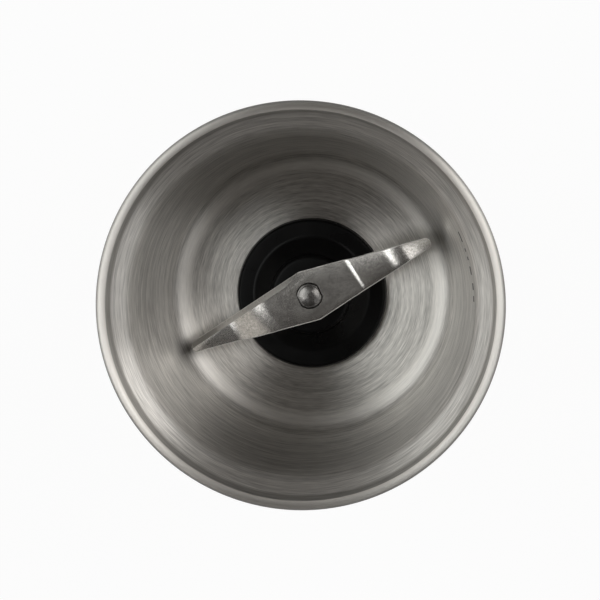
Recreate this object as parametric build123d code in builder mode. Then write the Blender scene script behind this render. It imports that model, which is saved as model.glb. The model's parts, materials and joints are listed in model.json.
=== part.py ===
"""Electric spice grinder: a lift-out steel cup with its own blade, on a motor base.

Frame: millimetres, +Z up, origin on the table at the centre of the base, the push button at -Y.
Every level is stacked upwards from the table, so a longer motor or a deeper cup lifts what is above it.
"""

import os
from math import asin, atan, cos, degrees, hypot, radians, sin, sqrt, tan

from build123d import *

os.makedirs("parts", exist_ok=True)

# ------------------------------------------------------------------ sizes: feet and bottom cover
foot_height = 3.0
foot_radius = 5.5
foot_recess = 1.0
foot_inset = 10.0  # foot centre from the cover's edge
foot_count = 4

cover_height = 14.0
cover_floor = 2.5
cover_wall = 3.0
cover_bottom_chamfer = 1.5
cover_spigot_height = 4.0
cover_spigot_wall = 1.6

vent_count = 16
vent_width = 2.2
vent_inner_radius = 11.0
vent_outer_radius = 29.0

gland_bore_radius = 3.0
gland_neck_radius = 4.2
gland_flange_radius = 5.2
gland_flange = 1.3
gland_proud = 0.5
gland_inner_flange = 1.5
gland_rise = 8.5  # bore axis above the underside of the cover

# ------------------------------------------------------------------ sizes: sleeve, chassis, collar
sleeve_spread = 2.0  # how much wider the sleeve is at its foot
sleeve_height = 107.0
sleeve_sheet = 0.8
sleeve_waist = 0.7  # how far the side curves in from a straight cone

chassis_gap = 0.9  # inside the collar's spigot
chassis_wall = 2.2
deck = 4.0
deck_rib_count = 8
deck_rib = 1.8
deck_rib_height = 3.0
deck_rib_radius = 31.0  # the ribs' inner ends
deck_hole_radius = 9.0
drip_ring_wall = 1.5
drip_ring_height = 2.1

collar_land = 6.2  # width of the ring's top outside the well
collar_overhang = 0.5  # past the sleeve
collar_height = 14.0
collar_edge_radius = 3.0
collar_lip_radius = 1.0
collar_wall = 2.4
collar_spigot_height = 8.0
collar_spigot_wall = 2.2
collar_core_height = 2.0  # how far the hollow under the ring reaches above the sleeve
seat_floor = 2.5
seat_hole_radius = 14.0
key_count = 4
key_width = 6.0
key_depth = 2.2
key_height = 12.0

# ------------------------------------------------------------------ sizes: cup
rim_radius = 48.0
cup_depth = 50.0
cup_sheet = 0.8
lip_width = 2.4
lip_curl = 3.2
lip_edge_radius = 1.1
lid_step_width = 1.4
lid_step_drop = 2.2
flare_width = 2.6
flare_drop = 2.4
wall_foot_radius = 35.9
corner_radius = 5.0
floor_hole_radius = 16.5

# ------------------------------------------------------------------ sizes: cup underside and hub
skirt_radius = 35.9
skirt_wall = 2.2
skirt_height = 16.0
base_plate = 3.0
base_rib_count = 6
base_rib = 1.8
hub_flange_radius = 19.3
hub_flange = 2.0
hub_boss_radius = 10.2
hub_slope_radius = 14.5
hub_slope_height = 3.0
hub_boss_height = 5.2
gasket = 0.8
hub_screw_circle_radius = 13.2
hub_screw_count = 3

# ------------------------------------------------------------------ sizes: blade and its shaft
blade_length = 66.3
blade_width = 13.2
blade_sheet = 1.5
blade_tip_radius = 1.5
blade_angle = 24.3  # how the blade stands at rest, from +X towards +Y
flat_reach = 13.0  # hub centre to the first bend
wing_slope = 25.0
high_wing_crest = 24.0
high_wing_tip_slope = 12.0
low_wing_foot = 19.7
high_first_bend_radius = 3.0
high_second_bend_radius = 7.2
low_first_bend_radius = 5.6
low_second_bend_radius = 5.4
grind_width = 1.4
grind_depth = 1.1
grind_start = 1.3  # from the hub centre

blade_shaft_radius = 3.5
shaft_square = 6.0
shaft_square_corner = 2.0
rivet_head = 1.4
spacer_radius = 5.0
spacer = 1.6
seal_radius = 6.4
seal = 2.6
cup_bush_radius = 5.0
thrust_washer = 0.5

# ------------------------------------------------------------------ sizes: couplings
spline_count = 8
spline_root_radius = 4.8
spline_tip_radius = 6.8
spline_width = 1.8
spline_height = 5.6
driven_radius = 9.6
driven_height = 8.0
driven_web = 3.0
driver_flange_radius = 12.5
driver_flange = 1.8
driver_lip = 1.1
spline_clearance = 0.35

# ------------------------------------------------------------------ sizes: motor
shaft_radius = 3.0
fan_radius = 26.0
fan_height = 8.0
fan_hub_radius = 7.0
fan_plate = 1.5
fan_blade = 1.2
fan_blade_bow = 2.6
fan_blade_count = 11
fan_clearance = 3.0

bush_length = 8.0
bush_radius = 6.5
bush_chamfer = 1.0
bush_housing_wall = 2.5
bracket_plate = 3.0
bracket_width = 12.0
bracket_column_radius = 3.6
tie_bolt_radius = 1.75
tie_bolt_head = 2.0
tie_bolt_head_radius = 3.2

commutator_radius = 9.5
commutator_length = 11.0
commutator_segments = 12
commutator_slit = 0.6
commutator_slit_depth = 1.2
riser = 1.6
riser_radius = 10.6

core_radius = 14.4
core_length = 26.0
core_slots = 12
core_slot_width = 3.0
core_slot_depth = 5.2
core_slot_mouth = 1.2
end_turn_height = 7.0
end_turn_radius = 12.6
end_turn_rounding = 2.8
air_gap = 0.6

stator_length_x = 60.0
stator_length_y = 43.0
stator_corner_radius = 6.5
yoke = 4.5
pole_shoe = 3.4
pole_shoe_angle = 112.0
pole_neck_width = 18.0
coil_side_gap = 1.4  # between a coil's side and the yoke
coil_corner_radius = 3.0
coil_clearance = 0.3

brush_width = 5.0
brush_length = 11.0
brush_wall = 1.3
brush_holder_length = 19.0
brush_clearance = 0.15
brush_spring_wire = 0.6
brush_spring_turns = 5

damper_count = 4
damper_circle_radius = 25.0
damper_radius = 4.2
damper = 3.0

# ------------------------------------------------------------------ sizes: button and switch
button_radius = 8.0
button_proud = 1.3
button_cap = 4.2
button_cap_wall = 1.4
button_travel = 2.0
button_stem_radius = 2.0
button_stem_end = 2.0  # the stem reaches this far behind the bezel
stem_groove_depth = 0.5
stem_clip = 0.8
stem_clip_radius = 3.6
button_drop = 14.5  # button axis below the deck
bezel_wall = 1.2
bezel_flange_radius = 11.5
bezel_depth = 8.0
bezel_floor = 1.4
button_spring_wire = 0.7
button_spring_turns = 4
switch_width = 6.4
switch_depth = 7.5
switch_length = 19.8
switch_overhang = 5.0  # switch body above the plunger's axis
plunger_radius = 1.2
plunger_proud = 2.5
plunger_length = 4.2
terminal_count = 3
terminal_length = 5.0
terminal_width = 3.2
terminal_sheet = 0.8
lead_radius = 0.8
lead_bend = 2.0
switch_rib = 2.0
switch_neck = 5.0  # the rib's neck passes in front of the motor bracket

# ------------------------------------------------------------------ sizes: fasteners and fits
screw_radius = 1.5
screw_head_radius = 2.8
screw_head = 1.5
screw_bite = 9.0
small_screw_radius = 1.2
small_screw_head_radius = 2.2
boss_radius = 4.0
column_sink = 0.2  # how far the screw columns run into the chassis wall
collar_screw_circle_radius = 27.0
fit = 0.2  # between moulded parts that slot together
running_fit = 0.05  # shaft to bush, per side
slide_fit = 0.15  # button and plunger to their guides, per side
seat_fit = 0.5  # cup to the well it drops into
motion_gap = 0.3

# ------------------------------------------------------------------ levels above the table
cover_z = foot_height
cover_top_z = cover_z + cover_height
chassis_z = cover_z + cover_floor
fan_z = chassis_z + fan_clearance
lower_bracket_z = fan_z + fan_height + tie_bolt_head + 1.0
commutator_z = lower_bracket_z + bush_length + 1.5
core_z = commutator_z + commutator_length + end_turn_height + 2.0
core_top_z = core_z + core_length
upper_bush_z = core_top_z + end_turn_height + 2.5
upper_bracket_top_z = upper_bush_z + bush_length
deck_z = upper_bracket_top_z + damper
deck_top_z = deck_z + deck
seat_z = deck_top_z + seat_floor
cup_underside_z = seat_z + skirt_height
cup_floor_z = cup_underside_z + cup_sheet
rim_z = cup_floor_z + cup_depth
sleeve_top_z = cover_top_z + sleeve_height
collar_top_z = sleeve_top_z + collar_height
chassis_top_z = sleeve_top_z - collar_spigot_height
hub_flange_z = cup_floor_z + gasket
hub_boss_top_z = hub_flange_z + hub_flange + hub_boss_height
blade_z = hub_boss_top_z + spacer + motion_gap
driven_top_z = cup_underside_z - base_plate - 1.5
driven_z = driven_top_z - driven_height
cup_bush_z = driven_top_z + thrust_washer
driver_z = seat_z + 0.4
spline_z = driver_z + driver_flange
button_z = deck_z - button_drop
gland_z = cover_z + gland_rise
brush_z = commutator_z + commutator_length / 2

# ------------------------------------------------------------------ radii that follow from others
step_radius = rim_radius - lip_width
flare_radius = step_radius - lid_step_width
wall_top_radius = flare_radius - flare_width
wall_top_drop = lid_step_drop + flare_drop
wall_slope = (wall_top_radius - wall_foot_radius) / (cup_depth - wall_top_drop)


def cup_outer_radius(z):
    """Outside radius of the cup's tapered wall at height z."""
    return wall_foot_radius + (z - cup_floor_z) * wall_slope + cup_sheet * sqrt(1 + wall_slope**2)


def well_radius_at(z):
    """Radius of the well round the cup's wall at height z."""
    return cup_outer_radius(z) + seat_fit + 0.1


well_radius = skirt_radius + seat_fit
well_top_radius = well_radius_at(collar_top_z)
collar_radius = well_top_radius + collar_land
sleeve_top_radius = collar_radius - collar_overhang
sleeve_bottom_radius = sleeve_top_radius + sleeve_spread
sleeve_inner_bottom = sleeve_bottom_radius - sleeve_sheet
sleeve_inner_top = sleeve_top_radius - sleeve_sheet
cover_spigot_radius = sleeve_inner_bottom - 2 * fit
cover_bore_radius = cover_spigot_radius - cover_spigot_wall
collar_spigot_radius = sleeve_inner_top - 2 * fit
chassis_radius = collar_spigot_radius - chassis_gap
chassis_bore_radius = chassis_radius - chassis_wall
cover_screw_circle_radius = chassis_bore_radius - boss_radius + column_sink
foot_circle_radius = sleeve_bottom_radius - foot_inset
skirt_bore_radius = skirt_radius - skirt_wall
hub_spigot_radius = floor_hole_radius - fit
button_face_y = -(sleeve_bottom_radius + sleeve_top_radius) / 2 - button_proud - 0.2
bezel_bore_radius = button_radius + slide_fit
bezel_radius = bezel_bore_radius + bezel_wall
bezel_face_y = button_face_y + button_proud
bezel_back_y = bezel_face_y + bezel_depth
stem_end_y = bezel_back_y + button_stem_end
clip_y = bezel_back_y + running_fit
switch_face_y = stem_end_y + running_fit + plunger_proud
coil_build = stator_length_y / 2 - yoke - pole_neck_width / 2 - coil_side_gap

SIDES = (1, -1)
COVER_SCREW_ANGLES = (0, 180, 270)
COLLAR_SCREW_ANGLES = (0, 90, 180)


def on_circle(radius, angle):
    """The point at that angle on a circle round the vertical axis."""
    return (radius * cos(radians(angle)), radius * sin(radians(angle)))


def circle_points(radius, angles):
    """Sketch locations at those angles on a circle."""
    return [on_circle(radius, angle) for angle in angles]


def save(built, name):
    """Labels a finished piece and writes it as parts/NAME.step."""
    built.part.label = name
    export_step(built.part, f"parts/{name}.step")


# ================================================================== base: feet, cover, gland
foot_angles = [360 / foot_count * (k + 0.5) for k in range(foot_count)]

with BuildPart() as rubber_feet:
    with BuildSketch():
        with Locations(*circle_points(foot_circle_radius, foot_angles)):
            Circle(foot_radius)
    extrude(amount=foot_height + foot_recess)
    chamfer(rubber_feet.edges().group_by(Axis.Z)[0], 0.8)
save(rubber_feet, "rubber_feet")

gland_face_y = sleeve_bottom_radius + gland_proud
gland_seat_y = gland_face_y - gland_flange
gland_inner_y = sqrt(cover_bore_radius**2 - gland_flange_radius**2)

with BuildPart() as bottom_cover:
    with BuildSketch(Plane.XY.offset(cover_z)):
        Circle(sleeve_bottom_radius)
    extrude(amount=cover_height)
    chamfer(bottom_cover.edges().group_by(Axis.Z)[0], cover_bottom_chamfer)
    with BuildSketch(Plane.XY.offset(cover_top_z)):
        Circle(cover_spigot_radius)
    extrude(amount=cover_spigot_height)
    with BuildSketch(Plane.XY.offset(chassis_z)):
        Circle(cover_bore_radius)
    extrude(amount=cover_height + cover_spigot_height, mode=Mode.SUBTRACT)
    with BuildSketch(Plane.XY.offset(cover_z)):
        with Locations(*circle_points(foot_circle_radius, foot_angles)):
            Circle(foot_radius)
    extrude(amount=foot_recess, mode=Mode.SUBTRACT)
    with BuildSketch(Plane.XY.offset(cover_z)):
        with PolarLocations((vent_inner_radius + vent_outer_radius) / 2, vent_count):
            SlotOverall(vent_outer_radius - vent_inner_radius, vent_width)
    extrude(amount=cover_floor, mode=Mode.SUBTRACT)
    with BuildSketch(Plane.XY.offset(cover_z)):
        with Locations(*circle_points(cover_screw_circle_radius, COVER_SCREW_ANGLES)):
            Circle(screw_head_radius + fit)
    extrude(amount=screw_head, mode=Mode.SUBTRACT)
    with BuildSketch(Plane.XY.offset(cover_z)):
        with Locations(*circle_points(cover_screw_circle_radius, COVER_SCREW_ANGLES)):
            Circle(screw_radius)
    extrude(amount=cover_floor, mode=Mode.SUBTRACT)
    # the gland's neck passes the wall, and its flange sits on a spot face
    with BuildSketch(Plane.XZ.offset(-cover_bore_radius + cover_wall)):
        with Locations((0, gland_z)):
            Circle(gland_neck_radius)
    extrude(amount=-2 * cover_wall - gland_flange, mode=Mode.SUBTRACT)
    with BuildSketch(Plane.XZ.offset(-gland_seat_y)):
        with Locations((0, gland_z)):
            Circle(gland_flange_radius + fit)
    extrude(amount=-gland_flange, mode=Mode.SUBTRACT)
save(bottom_cover, "bottom_cover")

with BuildPart() as cord_gland:
    with BuildSketch(Plane.XZ.offset(-gland_face_y)):
        with Locations((0, gland_z)):
            Circle(gland_flange_radius)
    extrude(amount=gland_flange)
    chamfer(cord_gland.faces().sort_by(Axis.Y)[-1].edges(), 0.4)
    with BuildSketch(Plane.XZ.offset(-gland_seat_y)):
        with Locations((0, gland_z)):
            Circle(gland_neck_radius)
    extrude(amount=gland_seat_y - gland_inner_y)
    with BuildSketch(Plane.XZ.offset(-gland_inner_y)):
        with Locations((0, gland_z)):
            Circle(gland_flange_radius)
    extrude(amount=gland_inner_flange)
    with BuildSketch(Plane.XZ.offset(-gland_face_y)):
        with Locations((0, gland_z)):
            Circle(gland_bore_radius)
    extrude(amount=gland_face_y - gland_inner_y + gland_inner_flange, mode=Mode.SUBTRACT)
save(cord_gland, "cord_gland")

with BuildPart() as cover_screws:
    with BuildSketch(Plane.XY.offset(cover_z)):
        with Locations(*circle_points(cover_screw_circle_radius, COVER_SCREW_ANGLES)):
            Circle(screw_head_radius)
            Rectangle(3.4, 0.7, mode=Mode.SUBTRACT)
            Rectangle(0.7, 3.4, mode=Mode.SUBTRACT)
    extrude(amount=screw_head * 0.6)
    with BuildSketch(Plane.XY.offset(cover_z + screw_head * 0.6)):
        with Locations(*circle_points(cover_screw_circle_radius, COVER_SCREW_ANGLES)):
            Circle(screw_head_radius)
    extrude(amount=screw_head * 0.4)
    with BuildSketch(Plane.XY.offset(cover_z + screw_head)):
        with Locations(*circle_points(cover_screw_circle_radius, COVER_SCREW_ANGLES)):
            Circle(screw_radius)
    extrude(amount=cover_floor - screw_head + screw_bite)
save(cover_screws, "cover_screws")

# ================================================================== base: sleeve and chassis
with BuildPart() as steel_sleeve:
    with BuildSketch(Plane.XZ):
        with BuildLine():
            side = SagittaArc(
                (sleeve_bottom_radius, cover_top_z), (sleeve_top_radius, sleeve_top_z), sleeve_waist
            )
            top = Line(side @ 1, (sleeve_inner_top, sleeve_top_z))
            SagittaArc(top @ 1, (sleeve_inner_bottom, cover_top_z), -sleeve_waist)
            Line((sleeve_inner_bottom, cover_top_z), side @ 0)
        make_face()
    revolve(axis=Axis.Z)
    with BuildSketch(Plane.XZ.offset(chassis_radius)):
        with Locations((0, button_z)):
            Circle(bezel_radius)
    extrude(amount=sleeve_bottom_radius, mode=Mode.SUBTRACT)
save(steel_sleeve, "steel_sleeve")

switch_centre_z = button_z + switch_overhang - switch_length / 2
damper_angles = [360 / damper_count * (k + 0.5) for k in range(damper_count)]
damper_points = circle_points(damper_circle_radius, damper_angles)
collar_screw_points = circle_points(collar_screw_circle_radius, COLLAR_SCREW_ANGLES)
cover_screw_points = circle_points(cover_screw_circle_radius, COVER_SCREW_ANGLES)
switch_middle_y = switch_face_y + switch_depth / 2
switch_screw_y = switch_face_y + 0.73 * switch_depth
switch_screw_points = [(switch_screw_y, switch_centre_z + side * switch_length / 4) for side in SIDES]
switch_top_z = switch_centre_z + switch_length / 2

with BuildPart() as inner_chassis:
    with BuildSketch(Plane.XY.offset(chassis_z)):
        Circle(chassis_radius)
        Circle(chassis_bore_radius, mode=Mode.SUBTRACT)
    extrude(amount=chassis_top_z - chassis_z)
    with BuildSketch(Plane.XY.offset(deck_z)):
        Circle(chassis_bore_radius)
    extrude(amount=deck)
    with BuildSketch(Plane.XY.offset(deck_top_z)):
        Circle(deck_hole_radius + drip_ring_wall)
    extrude(amount=drip_ring_height)
    with BuildSketch(Plane.XY.offset(deck_z)):
        Circle(deck_hole_radius)
        with Locations(*damper_points, *collar_screw_points):
            Circle(screw_radius)
    extrude(amount=deck + drip_ring_height, mode=Mode.SUBTRACT)
    with BuildSketch(Plane.XY.offset(deck_top_z - screw_head)):
        with Locations(*damper_points):
            Circle(screw_head_radius + fit)
    extrude(amount=screw_head, mode=Mode.SUBTRACT)
    with BuildSketch(Plane.XY.offset(deck_z - deck_rib_height)):
        with PolarLocations((deck_rib_radius + chassis_bore_radius) / 2, deck_rib_count):
            Rectangle(chassis_bore_radius - deck_rib_radius + column_sink, deck_rib)
    extrude(amount=deck_rib_height)
    # columns that the cover's screws bite into
    with BuildSketch(Plane.XY.offset(chassis_z)):
        with Locations(*cover_screw_points):
            Circle(boss_radius)
            Circle(screw_radius, mode=Mode.SUBTRACT)
    extrude(amount=screw_bite + 3.0)
    with BuildSketch(Plane.XY.offset(chassis_z)):
        with Locations(*cover_screw_points):
            Circle(screw_radius)
    extrude(amount=screw_bite, mode=Mode.SUBTRACT)
    # the opening for the button's bezel, and the notch round the gland
    with BuildSketch(Plane.XZ.offset(chassis_bore_radius / 2)):
        with Locations((0, button_z)):
            Circle(bezel_radius + fit)
    extrude(amount=chassis_radius, mode=Mode.SUBTRACT)
    with BuildSketch(Plane.XZ.offset(-chassis_radius)):
        with Locations((0, (chassis_z + gland_z) / 2)):
            Rectangle(2 * (gland_flange_radius + 0.5), gland_z - chassis_z)
        with Locations((0, gland_z)):
            Circle(gland_flange_radius + 0.5)
    extrude(amount=2 * chassis_wall, mode=Mode.SUBTRACT)
    # a rib under the deck carries the switch
    with BuildSketch(Plane.YZ.offset(switch_width / 2)):
        with Locations((switch_middle_y, switch_centre_z)):
            Rectangle(switch_depth, switch_length)
        with Locations((switch_face_y + switch_neck / 2, (deck_z + switch_top_z) / 2)):
            Rectangle(switch_neck, deck_z - switch_top_z)
        with Locations(*switch_screw_points):
            Circle(small_screw_radius, mode=Mode.SUBTRACT)
    extrude(amount=switch_rib)
save(inner_chassis, "inner_chassis")

# ================================================================== base: collar with the cup's well
well_taper_z = cup_floor_z + 4.0
well_taper_foot_z = cup_floor_z + 1.2
core_roof_z = sleeve_top_z + collar_core_height
well_taper_radius = well_radius_at(well_taper_z)

with BuildPart() as top_collar:
    with BuildSketch(Plane.XZ):
        with BuildLine():
            Polyline(
                (well_top_radius, collar_top_z),
                (well_taper_radius, well_taper_z),
                (well_radius, well_taper_foot_z),
                (well_radius, seat_z),
                (seat_hole_radius, seat_z),
                (seat_hole_radius, deck_top_z),
                (well_radius + collar_wall, deck_top_z),
                (well_radius + collar_wall, well_taper_foot_z),
                (well_taper_radius + collar_wall, well_taper_z),
                (well_radius_at(core_roof_z) + collar_wall, core_roof_z),
                (collar_spigot_radius - collar_spigot_wall, core_roof_z),
                (collar_spigot_radius - collar_spigot_wall, chassis_top_z),
                (collar_spigot_radius, chassis_top_z),
                (collar_spigot_radius, sleeve_top_z),
                (collar_radius, sleeve_top_z),
                (collar_radius, collar_top_z),
                close=True,
            )
        outline = make_face()
        fillet(outline.vertices().group_by(Axis.Y)[-1].sort_by(Axis.X)[-1], collar_edge_radius)
        fillet(outline.vertices().group_by(Axis.Y)[-1].sort_by(Axis.X)[0], collar_lip_radius)
    revolve(axis=Axis.Z)
    # keys that stop the cup from turning
    with BuildSketch(Plane.XY.offset(seat_z)):
        with PolarLocations(well_radius - key_depth / 2, key_count, start_angle=180 / key_count):
            Rectangle(key_depth + 2 * fit, key_width)
    extrude(amount=key_height)
    # bosses for the screws from below
    with BuildSketch(Plane.XY.offset(seat_z)):
        with Locations(*collar_screw_points):
            Circle(boss_radius)
    extrude(amount=screw_bite - seat_floor)
    with BuildSketch(Plane.XY.offset(deck_top_z)):
        with Locations(*collar_screw_points):
            Circle(screw_radius)
    extrude(amount=screw_bite - 1.5, mode=Mode.SUBTRACT)
save(top_collar, "top_collar")

with BuildPart() as collar_screws:
    with BuildSketch(Plane.XY.offset(deck_z - screw_head)):
        with Locations(*collar_screw_points):
            Circle(screw_head_radius)
    extrude(amount=screw_head)
    with BuildSketch(Plane.XY.offset(deck_z)):
        with Locations(*collar_screw_points):
            Circle(screw_radius)
    extrude(amount=deck + screw_bite - 1.5)
save(collar_screws, "collar_screws")

# ================================================================== cup
with BuildPart() as grinding_cup:
    with BuildSketch(Plane.XZ):
        with BuildLine():
            FilletPolyline(
                (rim_radius, rim_z - lip_curl),
                (rim_radius, rim_z),
                (step_radius, rim_z),
                (flare_radius, rim_z - lid_step_drop),
                (wall_top_radius, rim_z - wall_top_drop),
                (wall_foot_radius, cup_floor_z),
                (floor_hole_radius, cup_floor_z),
                radius=(lip_edge_radius, 0.5, 1.0, 4.0, corner_radius),
            )
            offset(amount=cup_sheet, side=Side.LEFT)
        make_face()
    revolve(axis=Axis.Z)
save(grinding_cup, "grinding_cup")

hub_screw_angles = [360 / hub_screw_count * k + 90 for k in range(hub_screw_count)]
hub_screw_points = circle_points(hub_screw_circle_radius, hub_screw_angles)
plate_hole_radius = cup_bush_radius + 3.0

with BuildPart() as cup_base:
    with BuildSketch(Plane.XY.offset(seat_z)):
        Circle(skirt_radius)
        Circle(skirt_bore_radius, mode=Mode.SUBTRACT)
    extrude(amount=skirt_height)
    with BuildSketch(Plane.XY.offset(cup_underside_z - base_plate)):
        Circle(skirt_bore_radius)
    extrude(amount=base_plate)
    # ribs under the plate, short of the driven coupling
    with BuildSketch(Plane.XY.offset(cup_underside_z - base_plate - 3.0)):
        with PolarLocations((skirt_bore_radius + hub_flange_radius) / 2, base_rib_count, start_angle=30):
            Rectangle(skirt_bore_radius - hub_flange_radius + fit, base_rib)
    extrude(amount=3.0)
    with BuildSketch(Plane.XY.offset(cup_underside_z - base_plate)):
        Circle(plate_hole_radius + fit)
        with Locations(*hub_screw_points):
            Circle(small_screw_radius)
    extrude(amount=base_plate, mode=Mode.SUBTRACT)
    with BuildSketch(Plane.XY.offset(seat_z)):
        with PolarLocations(skirt_radius - skirt_wall / 2, key_count, start_angle=180 / key_count):
            Rectangle(2 * skirt_wall, key_width + 2 * motion_gap)
    extrude(amount=key_height + motion_gap, mode=Mode.SUBTRACT)
    chamfer(cup_base.edges().group_by(Axis.Z)[-1].sort_by(SortBy.LENGTH)[-1], 0.8)
save(cup_base, "cup_base")

with BuildPart() as hub_disc:
    with BuildSketch(Plane.XZ):
        with BuildLine():
            FilletPolyline(
                (hub_spigot_radius, hub_flange_z),
                (hub_flange_radius, hub_flange_z),
                (hub_flange_radius - 0.6, hub_flange_z + hub_flange),
                (hub_slope_radius, hub_flange_z + hub_flange),
                (hub_boss_radius, hub_flange_z + hub_flange + hub_slope_height),
                (hub_boss_radius - 0.4, hub_boss_top_z),
                (cup_bush_radius, hub_boss_top_z),
                (cup_bush_radius, cup_underside_z),
                radius=(0.2, 0.8, 2.0, 1.2, 1.0, 0.2),
            )
            Polyline(
                (cup_bush_radius, cup_underside_z),
                (hub_spigot_radius, cup_underside_z),
                (hub_spigot_radius, hub_flange_z),
            )
        make_face()
    revolve(axis=Axis.Z)
    with BuildSketch(Plane.XY.offset(cup_bush_z)):
        Circle(plate_hole_radius)
    extrude(amount=cup_underside_z - cup_bush_z)
    with BuildSketch(Plane.XY.offset(cup_bush_z)):
        Circle(cup_bush_radius)
    extrude(amount=hub_boss_top_z - cup_bush_z, mode=Mode.SUBTRACT)
    with BuildSketch(Plane.XY.offset(hub_boss_top_z - seal)):
        Circle(seal_radius)
    extrude(amount=seal, mode=Mode.SUBTRACT)
    with BuildSketch(Plane.XY.offset(cup_underside_z)):
        with Locations(*hub_screw_points):
            Circle(small_screw_radius)
    extrude(amount=gasket + cup_sheet + 1.0, mode=Mode.SUBTRACT)
save(hub_disc, "hub_disc")

with BuildPart() as hub_gasket:
    with BuildSketch(Plane.XY.offset(cup_floor_z)):
        Circle(hub_flange_radius - 0.6)
        Circle(hub_spigot_radius, mode=Mode.SUBTRACT)
    extrude(amount=gasket)
save(hub_gasket, "hub_gasket")

with BuildPart() as hub_screws:
    with BuildSketch(Plane.XY.offset(cup_underside_z - base_plate - screw_head)):
        with Locations(*hub_screw_points):
            Circle(small_screw_head_radius)
    extrude(amount=screw_head)
    with BuildSketch(Plane.XY.offset(cup_underside_z - base_plate)):
        with Locations(*hub_screw_points):
            Circle(small_screw_radius)
    extrude(amount=base_plate + gasket + cup_sheet + 1.0)
save(hub_screws, "hub_screws")

with BuildPart() as cup_bush:
    with BuildSketch(Plane.XY.offset(cup_bush_z)):
        Circle(cup_bush_radius)
        Circle(blade_shaft_radius + running_fit, mode=Mode.SUBTRACT)
    extrude(amount=hub_boss_top_z - seal - cup_bush_z)
save(cup_bush, "cup_bush")

with BuildPart() as shaft_seal:
    with BuildSketch(Plane.XZ):
        with BuildLine():
            Polyline(
                (blade_shaft_radius + running_fit, hub_boss_top_z - seal + 0.9),
                (cup_bush_radius - 0.6, hub_boss_top_z - seal),
                (seal_radius, hub_boss_top_z - seal),
                (seal_radius, hub_boss_top_z),
                (cup_bush_radius, hub_boss_top_z),
                (cup_bush_radius - 0.8, hub_boss_top_z - seal + 1.3),
                (blade_shaft_radius + running_fit, hub_boss_top_z - 0.5),
                close=True,
            )
        make_face()
    revolve(axis=Axis.Z)
save(shaft_seal, "shaft_seal")

# ================================================================== blade unit
with BuildPart() as blade_spacer:
    with BuildSketch(Plane.XY.offset(blade_z - spacer)):
        Circle(spacer_radius)
        Circle(blade_shaft_radius, mode=Mode.SUBTRACT)
    extrude(amount=spacer)
    chamfer(blade_spacer.edges().group_by(Axis.Z)[0].sort_by(SortBy.LENGTH)[-1], 0.4)
save(blade_spacer, "blade_spacer")

# the bends lie square to the leading edges, which run from the widest point to the tip circles
tip_reach = blade_length / 2 - blade_tip_radius
tip_distance = hypot(tip_reach, blade_width / 2)
leading_angle = degrees(atan(blade_width / 2 / tip_reach) - asin(blade_tip_radius / tip_distance))
leading_reach = blade_width / 2 * cos(radians(leading_angle))
blade_plane = Plane.XY.rotated((0, 0, blade_angle))
bend_plane = Plane.XZ.rotated((0, 0, blade_angle + leading_angle))
grind_run = bend_plane.z_dir * -grind_width + Vector(0, 0, -grind_depth)

high_rise = (high_wing_crest - flat_reach) * tan(radians(wing_slope))
low_drop = (low_wing_foot - flat_reach) * tan(radians(wing_slope))
beyond_tip = blade_length / 2 + blade_width
high_tip_fall = (beyond_tip - high_wing_crest) * tan(radians(high_wing_tip_slope))
low_wing = [(-beyond_tip, blade_z - low_drop), (-low_wing_foot, blade_z - low_drop), (-flat_reach, blade_z)]
low_radii = (low_second_bend_radius, low_first_bend_radius)
high_wing = [
    (flat_reach, blade_z),
    (high_wing_crest, blade_z + high_rise),
    (beyond_tip, blade_z + high_rise - high_tip_fall),
]
high_radii = (high_first_bend_radius, high_second_bend_radius)

with BuildPart() as blade:
    with BuildSketch(bend_plane):
        with BuildLine():
            FilletPolyline(*low_wing, *high_wing, radius=(*low_radii, *high_radii))
            offset(amount=blade_sheet, side=Side.LEFT)
        make_face()
    extrude(amount=blade_width, both=True)
    with BuildSketch(blade_plane.offset(cup_floor_z)):
        with BuildLine():
            for side in SIDES:
                CenterArc((side * tip_reach, 0), blade_tip_radius, 0, 360)
            Line((0, -blade_width / 2), (0, blade_width / 2))
        make_hull()
    extrude(amount=rim_z - cup_floor_z, mode=Mode.INTERSECT)
    with BuildSketch(blade_plane.offset(blade_z)):
        RectangleRounded(shaft_square, shaft_square, shaft_square_corner)
    extrude(amount=blade_sheet, mode=Mode.SUBTRACT)
    # leading edges: the low wing is ground from above and the high wing from below
    with BuildSketch(bend_plane.offset(grind_width - leading_reach)):
        with BuildLine():
            FilletPolyline(*low_wing, (-grind_start, blade_z), radius=low_radii)
            offset(amount=2 * blade_sheet, side=Side.LEFT)
        make_face()
        with BuildLine():
            FilletPolyline(*low_wing, (-grind_start, blade_z), radius=low_radii)
            offset(amount=blade_sheet, side=Side.LEFT)
        make_face(mode=Mode.SUBTRACT)
    extrude(amount=2 * grind_run.length, dir=grind_run, mode=Mode.SUBTRACT)
    with BuildSketch(bend_plane.offset(leading_reach - grind_width)):
        with BuildLine():
            FilletPolyline((grind_start, blade_z), *high_wing, radius=high_radii)
            offset(amount=blade_sheet, side=Side.RIGHT)
        make_face()
    extrude(amount=2 * grind_run.length, dir=-grind_run, mode=Mode.SUBTRACT)
save(blade, "blade")

with BuildPart() as blade_shaft:
    with BuildSketch(Plane.XY.offset(driven_z + driven_height - driven_web)):
        Circle(blade_shaft_radius)
    extrude(amount=blade_z - driven_z - driven_height + driven_web)
    with BuildSketch(blade_plane.offset(blade_z)):
        RectangleRounded(shaft_square, shaft_square, shaft_square_corner)
    extrude(amount=blade_sheet + rivet_head)
    fillet(blade_shaft.edges().group_by(Axis.Z)[-1], rivet_head * 0.8)
save(blade_shaft, "blade_shaft")

with BuildPart() as thrust_ring:
    with BuildSketch(Plane.XY.offset(driven_top_z)):
        Circle(cup_bush_radius)
        Circle(blade_shaft_radius, mode=Mode.SUBTRACT)
    extrude(amount=thrust_washer - running_fit)
save(thrust_ring, "thrust_washer")

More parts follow.
